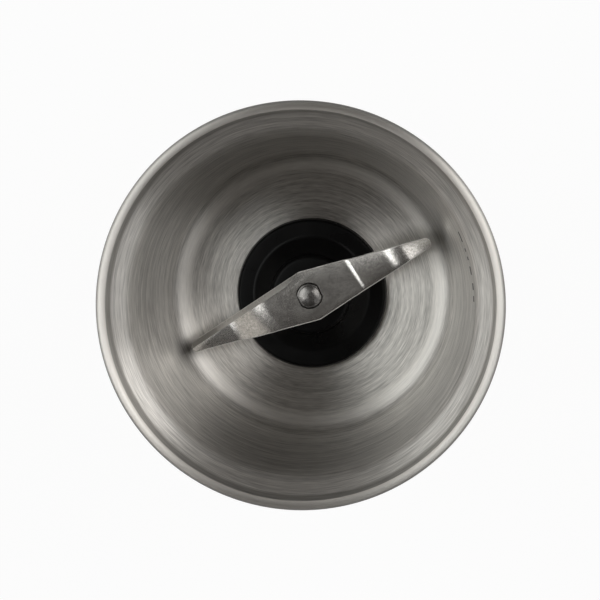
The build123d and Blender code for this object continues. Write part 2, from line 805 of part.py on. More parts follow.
# ================================================================== couplings
with BuildPart() as driven_coupling:
    with BuildSketch(Plane.XY.offset(driven_z)):
        Circle(driven_radius)
    extrude(amount=driven_height)
    chamfer(driven_coupling.edges(), 0.6)
    with BuildSketch(Plane.XY.offset(driven_z)):
        Circle(spline_root_radius + spline_clearance)
        with PolarLocations(spline_tip_radius / 2, spline_count):
            Rectangle(spline_tip_radius + 2 * spline_clearance, spline_width + 2 * spline_clearance)
    extrude(amount=driven_height - driven_web, mode=Mode.SUBTRACT)
    with BuildSketch(Plane.XY.offset(driven_z)):
        Circle(blade_shaft_radius)
    extrude(amount=driven_height, mode=Mode.SUBTRACT)
save(driven_coupling, "driven_coupling")

shaft_top_z = spline_z + spline_height - 1.0

with BuildPart() as drive_coupling:
    with BuildSketch(Plane.XY.offset(driver_z)):
        Circle(driver_flange_radius)
    extrude(amount=driver_flange)
    with BuildSketch(Plane.XY.offset(driver_z)):
        Circle(driver_flange_radius)
        Circle(driver_flange_radius - driver_lip, mode=Mode.SUBTRACT)
    extrude(amount=-drip_ring_height + 0.3)
    with BuildSketch(Plane.XY.offset(spline_z)):
        Circle(spline_root_radius)
        with PolarLocations(spline_tip_radius / 2, spline_count):
            Rectangle(spline_tip_radius, spline_width)
    extrude(amount=spline_height)
    chamfer(drive_coupling.edges().group_by(Axis.Z)[-1], 0.4)
    with BuildSketch(Plane.XY.offset(driver_z)):
        Circle(shaft_radius)
    extrude(amount=shaft_top_z - driver_z, mode=Mode.SUBTRACT)
save(drive_coupling, "drive_coupling")

# ================================================================== motor: what turns
with BuildPart() as motor_shaft:
    with BuildSketch(Plane.XY.offset(fan_z)):
        Circle(shaft_radius)
    extrude(amount=shaft_top_z - fan_z)
save(motor_shaft, "motor_shaft")

fan_middle = (fan_radius + fan_hub_radius) / 2
fan_curve = ThreePointArc(
    (fan_hub_radius - fan_blade, 0), (fan_middle, fan_blade_bow), (fan_radius - fan_blade, 0)
)

with BuildPart() as cooling_fan:
    with BuildSketch(Plane.XY.offset(fan_z + fan_height - fan_plate)):
        Circle(fan_radius)
    extrude(amount=fan_plate)
    with BuildSketch(Plane.XY.offset(fan_z)):
        Circle(fan_hub_radius)
        with PolarLocations(0, fan_blade_count):
            SlotArc(fan_curve, fan_blade)
    extrude(amount=fan_height - fan_plate)
    with BuildSketch(Plane.XY.offset(fan_z)):
        Circle(shaft_radius)
    extrude(amount=fan_height, mode=Mode.SUBTRACT)
save(cooling_fan, "cooling_fan")

with BuildPart() as commutator:
    with BuildSketch(Plane.XY.offset(commutator_z)):
        Circle(commutator_radius)
        with PolarLocations(commutator_radius, commutator_segments):
            Rectangle(2 * commutator_slit_depth, commutator_slit, mode=Mode.SUBTRACT)
    extrude(amount=commutator_length)
    with BuildSketch(Plane.XY.offset(commutator_z + commutator_length - riser)):
        Circle(riser_radius)
    extrude(amount=riser)
    with BuildSketch(Plane.XY.offset(commutator_z)):
        Circle(shaft_radius)
    extrude(amount=commutator_length, mode=Mode.SUBTRACT)
save(commutator, "commutator")

slot_centre_radius = core_radius - core_slot_mouth - core_slot_depth / 2

with BuildPart() as armature_core:
    with BuildSketch(Plane.XY.offset(core_z)):
        Circle(core_radius)
        with PolarLocations(core_radius, core_slots):
            Rectangle(2 * core_slot_mouth, core_slot_mouth, mode=Mode.SUBTRACT)
        with PolarLocations(slot_centre_radius, core_slots):
            RectangleRounded(core_slot_depth, core_slot_width, 0.9, mode=Mode.SUBTRACT)
        Circle(shaft_radius, mode=Mode.SUBTRACT)
    extrude(amount=core_length)
save(armature_core, "armature_core")

with BuildPart() as armature_winding:
    for end_z in (core_z - end_turn_height, core_top_z):
        with BuildSketch(Plane.XY.offset(end_z)):
            Circle(end_turn_radius)
        extrude(amount=end_turn_height)
    fillet(armature_winding.edges(), end_turn_rounding)
    with BuildSketch(Plane.XY.offset(core_z)):
        with PolarLocations(slot_centre_radius, core_slots):
            RectangleRounded(core_slot_depth, core_slot_width, 0.9)
    extrude(amount=core_length)
    with BuildSketch(Plane.XY.offset(core_z - end_turn_height)):
        Circle(shaft_radius)
    extrude(amount=core_length + 2 * end_turn_height, mode=Mode.SUBTRACT)
save(armature_winding, "armature_winding")

# ================================================================== motor: what stands still
bore_radius = core_radius + air_gap
shoe_radius = bore_radius + pole_shoe
column_y = stator_length_y / 2 - yoke / 2
column_points = [(0, side * column_y) for side in SIDES]

with BuildPart() as stator_core:
    with BuildSketch(Plane.XY.offset(core_z)):
        RectangleRounded(stator_length_x, stator_length_y, stator_corner_radius)
        RectangleRounded(
            stator_length_x - 2 * yoke,
            stator_length_y - 2 * yoke,
            stator_corner_radius - yoke,
            mode=Mode.SUBTRACT,
        )
        Rectangle(stator_length_x - yoke, pole_neck_width)
        for side in SIDES:
            with BuildLine():
                start = 90 - side * 90 - pole_shoe_angle / 2
                outer = CenterArc((0, 0), shoe_radius, start, pole_shoe_angle)
                Polyline(outer @ 1, (0, 0), outer @ 0)
            make_face()
        Circle(bore_radius, mode=Mode.SUBTRACT)
        with Locations(*column_points):
            Circle(tie_bolt_radius, mode=Mode.SUBTRACT)
    extrude(amount=core_length)
save(stator_core, "stator_core")

coil_thickness = stator_length_x / 2 - yoke - shoe_radius - 2 * coil_clearance
for side, coil_name in ((1, "field_coil_right"), (-1, "field_coil_left")):
    with BuildPart() as field_coil:
        with BuildSketch(Plane.YZ.offset(side * (shoe_radius + coil_clearance))):
            with Locations((0, core_z + core_length / 2)):
                RectangleRounded(
                    pole_neck_width + 2 * coil_build,
                    core_length + 2 * coil_build,
                    coil_corner_radius + coil_build / 2,
                )
                Rectangle(pole_neck_width, core_length, mode=Mode.SUBTRACT)
        extrude(amount=side * coil_thickness)
    save(field_coil, coil_name)


brush_bore = brush_width + 2 * brush_clearance
holder_width = brush_bore + 2 * brush_wall
holder_inner_x = commutator_radius + 3.0
holder_outer_x = holder_inner_x + brush_holder_length
housing_radius = bush_radius + bush_housing_wall
lower_plate_top_z = lower_bracket_z + bracket_plate
upper_plate_z = upper_bracket_top_z - bracket_plate
bracket_span = 2 * column_y + bracket_width

with BuildPart() as lower_bracket:
    with BuildSketch(Plane.XY.offset(lower_bracket_z)):
        SlotOverall(bracket_span, bracket_width, rotation=90)
        for side in SIDES:
            with Locations((side * (holder_outer_x + bush_radius) / 2, 0)):
                Rectangle(holder_outer_x - bush_radius, holder_width)
    extrude(amount=bracket_plate)
    with BuildSketch(Plane.XY.offset(lower_plate_top_z)):
        with Locations(*column_points):
            Circle(bracket_column_radius)
    extrude(amount=core_z - lower_plate_top_z)
    with BuildSketch(Plane.XY.offset(lower_bracket_z)):
        Circle(housing_radius)
    extrude(amount=bush_length)
    # blocks under the brush holders
    with BuildSketch(Plane.XY.offset(lower_plate_top_z)):
        for side in SIDES:
            with Locations((side * (holder_outer_x + holder_inner_x) / 2, 0)):
                Rectangle(brush_holder_length - 2, holder_width)
    extrude(amount=brush_z - holder_width / 2 - lower_plate_top_z)
    with BuildSketch(Plane.XY.offset(lower_bracket_z)):
        Circle(bush_radius)
        with Locations(*column_points):
            Circle(tie_bolt_radius)
    extrude(amount=core_z - lower_bracket_z, mode=Mode.SUBTRACT)
save(lower_bracket, "lower_bracket")

with BuildPart() as upper_bracket:
    with BuildSketch(Plane.XY.offset(upper_plate_z)):
        SlotOverall(bracket_span, bracket_width, rotation=90)
        for angle in damper_angles[:2]:
            SlotOverall(2 * (damper_circle_radius + damper_radius), 2 * damper_radius, rotation=angle)
    extrude(amount=bracket_plate)
    with BuildSketch(Plane.XY.offset(core_top_z)):
        with Locations(*column_points):
            Circle(bracket_column_radius)
    extrude(amount=upper_plate_z - core_top_z)
    with BuildSketch(Plane.XY.offset(upper_bush_z)):
        Circle(housing_radius)
    extrude(amount=bush_length)
    with BuildSketch(Plane.XY.offset(core_top_z)):
        Circle(bush_radius)
        with Locations(*column_points):
            Circle(tie_bolt_radius)
        with Locations(*damper_points):
            Circle(screw_radius)
    extrude(amount=upper_bracket_top_z - core_top_z, mode=Mode.SUBTRACT)
save(upper_bracket, "upper_bracket")

for bush_z, bush_name in ((lower_bracket_z, "lower_bush"), (upper_bush_z, "upper_bush")):
    with BuildPart() as motor_bush:
        with BuildSketch(Plane.XY.offset(bush_z)):
            Circle(bush_radius)
        extrude(amount=bush_length)
        chamfer(motor_bush.edges(), bush_chamfer)
        with BuildSketch(Plane.XY.offset(bush_z)):
            Circle(shaft_radius + running_fit)
        extrude(amount=bush_length, mode=Mode.SUBTRACT)
    save(motor_bush, bush_name)

with BuildPart() as tie_bolts:
    with BuildSketch(Plane.XY.offset(lower_bracket_z - tie_bolt_head)):
        with Locations(*column_points):
            RegularPolygon(tie_bolt_head_radius, 6)
    extrude(amount=tie_bolt_head)
    with BuildSketch(Plane.XY.offset(lower_bracket_z)):
        with Locations(*column_points):
            Circle(tie_bolt_radius)
    extrude(amount=upper_bracket_top_z - lower_bracket_z)
save(tie_bolts, "tie_bolts")

with BuildPart() as motor_dampers:
    with BuildSketch(Plane.XY.offset(upper_bracket_top_z)):
        with Locations(*damper_points):
            Circle(damper_radius)
            Circle(screw_radius, mode=Mode.SUBTRACT)
    extrude(amount=damper)
save(motor_dampers, "motor_dampers")

with BuildPart() as motor_screws:
    with BuildSketch(Plane.XY.offset(deck_top_z - screw_head)):
        with Locations(*damper_points):
            Circle(screw_head_radius)
    extrude(amount=screw_head)
    with BuildSketch(Plane.XY.offset(upper_bracket_top_z - bracket_plate)):
        with Locations(*damper_points):
            Circle(screw_radius)
    extrude(amount=bracket_plate + damper + deck - screw_head)
save(motor_screws, "motor_screws")

# ================================================================== motor: brushes
for side, word in ((1, "right"), (-1, "left")):
    brush_face_x = side * (commutator_radius + brush_clearance)
    brush_back_x = brush_face_x + side * brush_length
    spring_end_x = side * (holder_outer_x - brush_wall)

    with BuildPart() as brush_holder:
        with BuildSketch(Plane.YZ.offset(side * holder_inner_x)):
            with Locations((0, brush_z)):
                Rectangle(holder_width, holder_width)
                Rectangle(brush_bore, brush_bore, mode=Mode.SUBTRACT)
        extrude(amount=side * (brush_holder_length - brush_wall))
        with BuildSketch(Plane.YZ.offset(spring_end_x)):
            with Locations((0, brush_z)):
                Rectangle(holder_width, holder_width)
        extrude(amount=side * brush_wall)
    save(brush_holder, f"brush_holder_{word}")

    with BuildPart() as carbon_brush:
        with BuildSketch(Plane.YZ.offset(brush_face_x)):
            with Locations((0, brush_z)):
                Rectangle(brush_width, brush_width)
        extrude(amount=side * brush_length)
    save(carbon_brush, f"carbon_brush_{word}")

    coil_radius = brush_width / 2 - brush_spring_wire
    coil_length = abs(spring_end_x - brush_back_x) - brush_spring_wire
    with BuildPart() as brush_spring:
        with BuildLine():
            coil = Helix(
                coil_length / brush_spring_turns,
                coil_length,
                coil_radius,
                center=(brush_back_x + side * brush_spring_wire / 2, 0, brush_z),
                direction=(side, 0, 0),
            )
        with BuildSketch(Plane(origin=coil @ 0, z_dir=coil % 0)):
            Circle(brush_spring_wire / 2)
        sweep(path=coil)
    save(brush_spring, f"brush_spring_{word}")

# ================================================================== button and switch
with BuildPart() as button_bezel:
    with BuildSketch(Plane.XZ.offset(-bezel_face_y)):
        with Locations((0, button_z)):
            Circle(bezel_flange_radius)
    extrude(amount=-bezel_depth / 2)
    fillet(button_bezel.faces().sort_by(Axis.Y)[0].edges(), 0.6)
    with BuildSketch(Plane.XZ):
        with BuildLine():
            side = SagittaArc(
                (sleeve_bottom_radius, cover_top_z), (sleeve_top_radius, sleeve_top_z), sleeve_waist
            )
            Polyline(side @ 1, (0, sleeve_top_z), (0, cover_top_z), side @ 0)
        make_face()
    revolve(axis=Axis.Z, mode=Mode.SUBTRACT)
    with BuildSketch(Plane.XZ.offset(-bezel_face_y - 0.6)):
        with Locations((0, button_z)):
            Circle(bezel_radius)
    extrude(amount=-bezel_depth + 0.6)
    with BuildSketch(Plane.XZ.offset(-bezel_face_y)):
        with Locations((0, button_z)):
            Circle(bezel_bore_radius)
    extrude(amount=-bezel_depth + bezel_floor, mode=Mode.SUBTRACT)
    with BuildSketch(Plane.XZ.offset(-bezel_face_y)):
        with Locations((0, button_z)):
            Circle(button_stem_radius + slide_fit)
    extrude(amount=-bezel_depth, mode=Mode.SUBTRACT)
save(button_bezel, "button_bezel")

cap_back_y = button_face_y + button_cap

with BuildPart() as push_button:
    with BuildSketch(Plane.XZ.offset(-button_face_y)):
        with Locations((0, button_z)):
            Circle(button_radius)
    extrude(amount=-button_cap)
    fillet(push_button.faces().sort_by(Axis.Y)[0].edges(), 1.2)
    with BuildSketch(Plane.XZ.offset(-cap_back_y)):
        with Locations((0, button_z)):
            Circle(button_radius - button_cap_wall)
    extrude(amount=button_cap - button_cap_wall, mode=Mode.SUBTRACT)
    with BuildSketch(Plane.XZ.offset(-button_face_y - button_cap_wall)):
        with Locations((0, button_z)):
            Circle(button_stem_radius)
    extrude(amount=button_face_y + button_cap_wall - stem_end_y)
    with BuildSketch(Plane.XZ.offset(-clip_y)):
        with Locations((0, button_z)):
            Circle(button_stem_radius)
            Circle(button_stem_radius - stem_groove_depth, mode=Mode.SUBTRACT)
    extrude(amount=-stem_clip, mode=Mode.SUBTRACT)
save(push_button, "push_button")

with BuildPart() as button_clip:
    with BuildSketch(Plane.XZ.offset(-clip_y)):
        with Locations((0, button_z)):
            Circle(stem_clip_radius)
            Circle(button_stem_radius - stem_groove_depth, mode=Mode.SUBTRACT)
        with Locations((0, button_z - stem_clip_radius)):
            Rectangle(button_stem_radius, 2 * stem_clip_radius, mode=Mode.SUBTRACT)
    extrude(amount=-stem_clip)
save(button_clip, "button_clip")

spring_front_y = button_face_y + button_cap_wall
spring_back_y = bezel_back_y - bezel_floor
spring_radius = (button_stem_radius + button_radius - button_cap_wall) / 2
spring_length = spring_back_y - spring_front_y - button_spring_wire

with BuildPart() as button_spring:
    with BuildLine():
        coil = Helix(
            spring_length / button_spring_turns,
            spring_length,
            spring_radius,
            center=(0, spring_front_y + button_spring_wire / 2, button_z),
            direction=(0, 1, 0),
        )
    with BuildSketch(Plane(origin=coil @ 0, z_dir=coil % 0)):
        Circle(button_spring_wire / 2)
    sweep(path=coil)
save(button_spring, "button_spring")

plunger_pocket = plunger_length - plunger_proud + button_travel + motion_gap

with BuildPart() as micro_switch:
    with BuildSketch(Plane.XZ.offset(-switch_face_y)):
        with Locations((0, switch_centre_z)):
            RectangleRounded(switch_width, switch_length, 0.6)
    extrude(amount=-switch_depth)
    with BuildSketch(Plane.XZ.offset(-switch_face_y)):
        with Locations((0, button_z)):
            Circle(plunger_radius + slide_fit)
    extrude(amount=-plunger_pocket, mode=Mode.SUBTRACT)
    with BuildSketch(Plane.YZ.offset(-switch_width / 2)):
        with Locations(*switch_screw_points):
            Circle(small_screw_radius)
    extrude(amount=switch_width, mode=Mode.SUBTRACT)
save(micro_switch, "micro_switch")

with BuildPart() as switch_terminals:
    with BuildSketch(Plane.XY.offset(switch_centre_z - switch_length / 2)):
        with Locations((0, switch_middle_y)):
            with GridLocations(0, switch_depth / terminal_count, 1, terminal_count):
                Rectangle(terminal_width, terminal_sheet)
    extrude(amount=-terminal_length)
save(switch_terminals, "switch_terminals")

with BuildPart() as switch_plunger:
    with BuildSketch(Plane.XZ.offset(-switch_face_y + plunger_proud)):
        with Locations((0, button_z)):
            Circle(plunger_radius)
    extrude(amount=-plunger_length)
    chamfer(switch_plunger.faces().sort_by(Axis.Y)[0].edges(), 0.3)
save(switch_plunger, "switch_plunger")

with BuildPart() as switch_screws:
    with BuildSketch(Plane.YZ.offset(-switch_width / 2)):
        with Locations(*switch_screw_points):
            Circle(small_screw_radius)
    extrude(amount=switch_width + switch_rib)
    with BuildSketch(Plane.YZ.offset(-switch_width / 2)):
        with Locations(*switch_screw_points):
            Circle(small_screw_head_radius)
    extrude(amount=-screw_head)
save(switch_screws, "switch_screws")

# ================================================================== leads
coil_tap_x = shoe_radius + coil_clearance + 2 * lead_radius
coil_end_y = pole_neck_width / 2 + coil_build
tap_y = holder_width / 2 + 2 * lead_bend

for side, word in ((1, "right"), (-1, "left")):
    with BuildPart() as field_lead:
        with BuildLine():
            route = FilletPolyline(
                (side * coil_tap_x, tap_y, core_z - coil_build),
                (side * coil_tap_x, tap_y, brush_z),
                (side * coil_tap_x, holder_width / 2, brush_z),
                radius=lead_bend,
            )
        with BuildSketch(Plane(origin=route @ 0, z_dir=route % 0)):
            Circle(lead_radius)
        sweep(path=route)
    save(field_lead, f"field_lead_{word}")

terminal_y = switch_middle_y - switch_depth / terminal_count
terminal_end_z = switch_centre_z - switch_length / 2 - terminal_length
coil_top_z = core_top_z + coil_build / 2

with BuildPart() as switch_lead:
    with BuildLine():
        route = FilletPolyline(
            (0, terminal_y, terminal_end_z),
            (0, terminal_y, terminal_end_z - 3 * lead_bend),
            (-coil_tap_x, terminal_y, terminal_end_z - 3 * lead_bend),
            (-coil_tap_x, terminal_y, coil_top_z),
            (-coil_tap_x, -coil_end_y, coil_top_z),
            radius=2 * lead_bend,
        )
    with BuildSketch(Plane(origin=route @ 0, z_dir=route % 0)):
        Circle(lead_radius)
    sweep(path=route)
save(switch_lead, "switch_lead")
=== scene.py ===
# %% [markdown]
# # An electric spice grinder, seen from above
#
# The machine is a steel cup with a blade in it, standing on a motor base. Its sizes and its moving parts
# come from a CAD model that is loaded first. This lesson gives it its looks: turned steel, a bent and
# ground blade, moulded black plastic and rubber, and a small white studio.
#
# The scene is in metres, with the table at z = 0 and the push button at -Y. Lengths in the code are in
# millimetres and get multiplied by MM, unless a comment says metres.

import json
from math import asin, atan, cos, hypot, pi, radians, sin, sqrt, tan, tau

import bmesh
import bpy
from mathutils import Matrix, Vector


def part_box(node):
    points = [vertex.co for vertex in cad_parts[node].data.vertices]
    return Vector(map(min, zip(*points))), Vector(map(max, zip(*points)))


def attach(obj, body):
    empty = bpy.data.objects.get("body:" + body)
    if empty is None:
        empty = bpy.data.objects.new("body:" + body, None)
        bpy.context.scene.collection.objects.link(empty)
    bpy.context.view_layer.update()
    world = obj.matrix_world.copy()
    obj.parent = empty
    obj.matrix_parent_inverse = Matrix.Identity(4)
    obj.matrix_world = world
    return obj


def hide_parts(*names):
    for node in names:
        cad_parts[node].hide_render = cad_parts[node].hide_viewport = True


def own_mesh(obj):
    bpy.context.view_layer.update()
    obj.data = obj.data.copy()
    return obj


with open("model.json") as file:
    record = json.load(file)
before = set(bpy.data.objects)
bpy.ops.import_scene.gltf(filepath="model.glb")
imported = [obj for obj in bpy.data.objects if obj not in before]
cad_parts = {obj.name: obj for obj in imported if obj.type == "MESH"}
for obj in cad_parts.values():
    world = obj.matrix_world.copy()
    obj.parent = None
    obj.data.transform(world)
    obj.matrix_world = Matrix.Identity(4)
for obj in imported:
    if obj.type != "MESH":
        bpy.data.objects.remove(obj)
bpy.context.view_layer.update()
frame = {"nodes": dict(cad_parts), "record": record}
MM = 0.001

# %% [markdown]
# ## The camera
#
# The cup is seen from half a metre above, a little to the back and to the right of its axis, so its floor
# sits off the middle of its rim. A camera can be aimed by hand or by a constraint. Here its rotation is
# worked out from the line of sight, which stays exact when a number changes.

# %% The camera
RIM_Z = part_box("grinding_cup")[1][2] / MM
RIM_RADIUS = 48.0
EYE_OFFSET = Vector((32.6, 35.4))  # from the axis, millimetres
EYE_HEIGHT = 485.0
FRAME_WIDTH = 139.8  # what the frame spans at the rim
AIM = Vector((0.19, 1.62))  # where the middle of the frame meets the plane of the rim
SENSOR_WIDTH = 36.0


def aim_camera(eye, target, width):
    """A camera at eye that looks at target, with that width across the frame there."""
    data = bpy.data.cameras.new("camera")
    camera = bpy.data.objects.new("camera", data)
    bpy.context.collection.objects.link(camera)
    sight = (target - eye).normalized()
    right = Vector((1, 0, 0))
    up = right.cross(sight).normalized()
    right = sight.cross(up).normalized()
    camera.matrix_world = Matrix.Translation(eye) @ Matrix((right, up, -sight)).transposed().to_4x4()
    data.sensor_width = SENSOR_WIDTH
    data.lens = SENSOR_WIDTH * (target - eye).length / width
    data.clip_start = 0.01  # metres
    return camera


eye = Vector((*EYE_OFFSET, RIM_Z + EYE_HEIGHT)) * MM
camera = aim_camera(eye, Vector((*AIM, RIM_Z)) * MM, FRAME_WIDTH * MM)
bpy.context.scene.camera = camera
print("lens", round(camera.data.lens, 1))

# %% [markdown]
# ## The studio
#
# Brushed steel has no colour of its own: it shows what stands round it. Two large soft lamps stand right
# and left of the cup, each with a weaker fill beside or below it, and the ceiling is dark. So every turned
# surface gets a bright wing on each side and goes dark between them. A small fifth lamp gives the blade's
# bends their thin bright lines. The table is pale, shows nearly white to the camera and keeps a soft shadow.
#
# The lamps could be placed by hand. Here each one has a direction from the cup and is turned to it.

# %% The lamps
def soft_lamp(name, place, size, power, tint):
    """A rectangular lamp at place, turned to the middle of the cup. Its size is in millimetres."""
    data = bpy.data.lights.new(name, "AREA")
    data.shape = "RECTANGLE"
    data.size, data.size_y = size[0] * MM, size[1] * MM
    data.energy = power
    data.color = tint
    lamp = bpy.data.objects.new(name, data)
    bpy.context.collection.objects.link(lamp)
    facing = (place - CUP_MIDDLE).to_track_quat("Z", "Y").to_matrix().to_4x4()
    lamp.matrix_world = Matrix.Translation(place * MM) @ facing


CUP_DEPTH = 50.0
CUP_MIDDLE = Vector((0, 0, RIM_Z - CUP_DEPTH / 2))
LAMP_DISTANCE = 1000.0


def around(azimuth, elevation):
    """The place of a lamp, by its direction from the cup in degrees, the first from +X towards +Y."""
    azimuth, elevation = radians(azimuth), radians(elevation)
    out = Vector((cos(elevation) * cos(azimuth), cos(elevation) * sin(azimuth), sin(elevation)))
    return CUP_MIDDLE + LAMP_DISTANCE * out


for name, azimuth, elevation, size, power, tint in (
    ("lamp_right", 27, 48, (480, 900), 3.15, (1, 0.985, 0.965)),
    ("lamp_left", 165, 60, (720, 430), 2.65, (0.98, 1, 0.985)),
    ("fill_right", 342, 42, (600, 760), 1.2, (1, 1, 1)),
    ("fill_left", 165, 40, (1000, 300), 0.78, (1, 1, 1)),
    ("bend_light", 208, 63, (240, 200), 0.3, (1, 1, 1)),
):
    soft_lamp(name, around(azimuth, elevation), size, power, tint)


# %% Helpers for node trees
def add(tree, kind, inputs=None, **settings):
    """Adds a node. An input that is a socket gets linked, and any other value is set."""
    made = tree.nodes.new(kind)
    for name, value in settings.items():
        setattr(made, name, value)
    for key, value in (inputs or {}).items():
        if isinstance(value, bpy.types.NodeSocket):
            tree.links.new(value, made.inputs[key])
        else:
            made.inputs[key].default_value = value
    return made


def math(tree, operation, a, b):
    """One Math node and its result."""
    return add(tree, "ShaderNodeMath", {0: a, 1: b}, operation=operation).outputs[0]


def remap(tree, value, low, high, to_low, to_high):
    """Brings value from low..high to to_low..to_high, without overshoot."""
    inputs = {"Value": value, "From Min": low, "From Max": high, "To Min": to_low, "To Max": to_high}
    return add(tree, "ShaderNodeMapRange", inputs).outputs["Result"]


def blend_colours(tree, factor, first, second):
    """Mixes two colours by a factor."""
    made = add(tree, "ShaderNodeMix", data_type="RGBA")
    for socket, value in ((made.inputs[0], factor), (made.inputs[6], first), (made.inputs[7], second)):
        if isinstance(value, bpy.types.NodeSocket):
            tree.links.new(value, socket)
        else:
            socket.default_value = value
    return made.outputs[2]


# %% The world
bpy.context.scene.view_settings.view_transform = "Standard"
world = bpy.data.worlds.new("studio")
bpy.context.scene.world = world
world.use_nodes = True
air = world.node_tree
air.nodes.clear()
direction = add(air, "ShaderNodeTexCoord").outputs["Generated"]
height = add(air, "ShaderNodeSeparateXYZ", {0: direction}).outputs["Z"]
walls_to_ceiling = remap(air, height, 0.1, 0.6, 0.18, 0.055)
near_horizon = remap(air, height, 0.08, 0.3, 1, 0)
paths = add(air, "ShaderNodeLightPath").outputs
mirrored = math(air, "MAXIMUM", paths["Is Glossy Ray"], paths["Is Transmission Ray"])
shown = math(air, "MAXIMUM", paths["Is Camera Ray"], math(air, "MULTIPLY", mirrored, near_horizon))
room_light = add(air, "ShaderNodeBackground", {"Color": (1, 0.9, 0.82, 1), "Strength": walls_to_ceiling})
white = add(air, "ShaderNodeBackground", {"Color": (1, 1, 1, 1), "Strength": 1.0})
seen = add(air, "ShaderNodeMixShader", {0: shown, 1: room_light.outputs[0], 2: white.outputs[0]})
add(air, "ShaderNodeOutputWorld", {"Surface": seen.outputs[0]})
print("world", world.name)

# %% The table
TABLE_RADIUS = 1.6  # metres
GLOW = 0.955  # how much of the paper's look comes from itself, where the camera or a mirror sees it


def paper_white():
    """Pale matt paper that shows nearly white to the camera and keeps a soft shadow."""
    finish = bpy.data.materials.new("table_paper")
    finish.use_nodes = True
    tree = finish.node_tree
    tree.nodes.clear()
    rays = add(tree, "ShaderNodeLightPath").outputs
    matt = add(tree, "ShaderNodeBsdfDiffuse", {"Color": (0.8, 0.8, 0.8, 1)})
    bright = add(tree, "ShaderNodeEmission", {"Color": (1, 1, 1, 1), "Strength": 1.0})
    mirrored = math(tree, "MAXIMUM", rays["Is Glossy Ray"], rays["Is Transmission Ray"])
    share = math(tree, "MULTIPLY", math(tree, "MAXIMUM", rays["Is Camera Ray"], mirrored), GLOW)
    mixed = add(tree, "ShaderNodeMixShader", {0: share, 1: matt.outputs[0], 2: bright.outputs[0]})
    add(tree, "ShaderNodeOutputMaterial", {"Surface": mixed.outputs[0]})
    return finish


table_shape = bmesh.new()
bmesh.ops.create_circle(table_shape, cap_ends=True, segments=64, radius=TABLE_RADIUS)
table_mesh = bpy.data.meshes.new("table")
table_shape.to_mesh(table_mesh)
table_shape.free()
table_mesh.materials.append(paper_white())
table = bpy.data.objects.new("table", table_mesh)
bpy.context.collection.objects.link(table)
print("table radius", TABLE_RADIUS, "m")

# %% [markdown]
# ## Finishes
#
# Each finish is a small node tree on Object coordinates. Turned steel gets its fine rings from noise that is
# stretched round the axis: the noise reads the direction from the axis, which changes slowly, and the
# distance along the profile, which changes fast. The same rings steer roughness, colour and a faint bump.
# The highlight of brushed metal spreads across the scratches, so the shader is anisotropic with a tangent
# that runs round the axis. A picture wrapped round the piece could do the same, but it would have a seam.


# %% Coordinates round the axis
def round_the_axis(tree):
    """Object coordinates as (unit direction x, unit direction y, radius, height)."""
    place = add(tree, "ShaderNodeTexCoord").outputs["Object"]
    parts = add(tree, "ShaderNodeSeparateXYZ", {0: place})
    flat = add(tree, "ShaderNodeCombineXYZ", {0: parts.outputs[0], 1: parts.outputs[1]})
    radius = add(tree, "ShaderNodeVectorMath", {0: flat.outputs[0]}, operation="LENGTH").outputs["Value"]
    unit = add(tree, "ShaderNodeVectorMath", {0: flat.outputs[0]}, operation="NORMALIZE").outputs["Vector"]
    sides = add(tree, "ShaderNodeSeparateXYZ", {0: unit})
    return sides.outputs[0], sides.outputs[1], radius, parts.outputs[2]


def ring_noise(tree, turns, per_metre, upright):
    """Noise in long streaks round the axis: about turns streaks per radian, per_metre across them, and
    upright times that on an upright wall."""
    x, y, radius, up = round_the_axis(tree)
    along = math(tree, "MULTIPLY", math(tree, "ADD", radius, math(tree, "MULTIPLY", up, upright)), per_metre)
    sides = [math(tree, "MULTIPLY", side, turns) for side in (x, y)]
    spot = add(tree, "ShaderNodeCombineXYZ", {0: sides[0], 1: sides[1], 2: along}).outputs[0]
    return add(tree, "ShaderNodeTexNoise", {"Vector": spot, "Scale": 1.0, "Detail": 1.0}).outputs[0]


def spot_noise(tree, per_metre, detail=2.0, stretch=(1, 1, 1)):
    """Plain noise on Object coordinates, with that many spots to the metre."""
    place = add(tree, "ShaderNodeTexCoord").outputs["Object"]
    scaled = add(tree, "ShaderNodeMapping", {"Vector": place, "Scale": stretch}).outputs[0]
    inputs = {"Vector": scaled, "Scale": per_metre, "Detail": detail}
    return add(tree, "ShaderNodeTexNoise", inputs).outputs[0]


def new_finish(name, colour, roughness, metallic=0.0, **sockets):
    """A material with a Principled shader whose sockets hold the given numbers."""
    finish = bpy.data.materials.new(name)
    finish.use_nodes = True
    tree = finish.node_tree
    bsdf = tree.nodes["Principled BSDF"]
    bsdf.inputs["Base Color"].default_value = (*colour, 1)
    bsdf.inputs["Roughness"].default_value = roughness
    bsdf.inputs["Metallic"].default_value = metallic
    for key, value in sockets.items():
        bsdf.inputs[key.replace("_", " ")].default_value = value
    return finish, tree, bsdf


def shade(tree, bsdf, colour=None, roughness=None, height=None, distance=0.0):
    """Links a colour, a roughness and a bump height to the shader. The bump is distance (m) high."""
    if colour is not None:
        tree.links.new(colour, bsdf.inputs["Base Color"])
    if roughness is not None:
        tree.links.new(roughness, bsdf.inputs["Roughness"])
    if height is not None:
        bump = add(tree, "ShaderNodeBump", {"Height": height, "Distance": distance, "Strength": 1.0})
        tree.links.new(bump.outputs[0], bsdf.inputs["Normal"])


# %% Turned steel
COARSE_RINGS, FINE_RINGS = (1.5, 1700.0), (9.0, 5600.0)  # streaks to the radian, rings to the metre
CORNER_IN, CORNER_OUT = (30.6, 32.2), (33.7, 35.0)  # radii between which the painted highlight at the corner begins and ends
SHOULDER = (47.2, 47.75)  # radii between which the lip's outer shoulder begins


def ramp(tree, value, low, high, falling=False):
    """Rises from 0 to 1 between two lengths in millimetres, or falls."""
    return remap(tree, value, low * MM, high * MM, *((1, 0) if falling else (0, 1)))


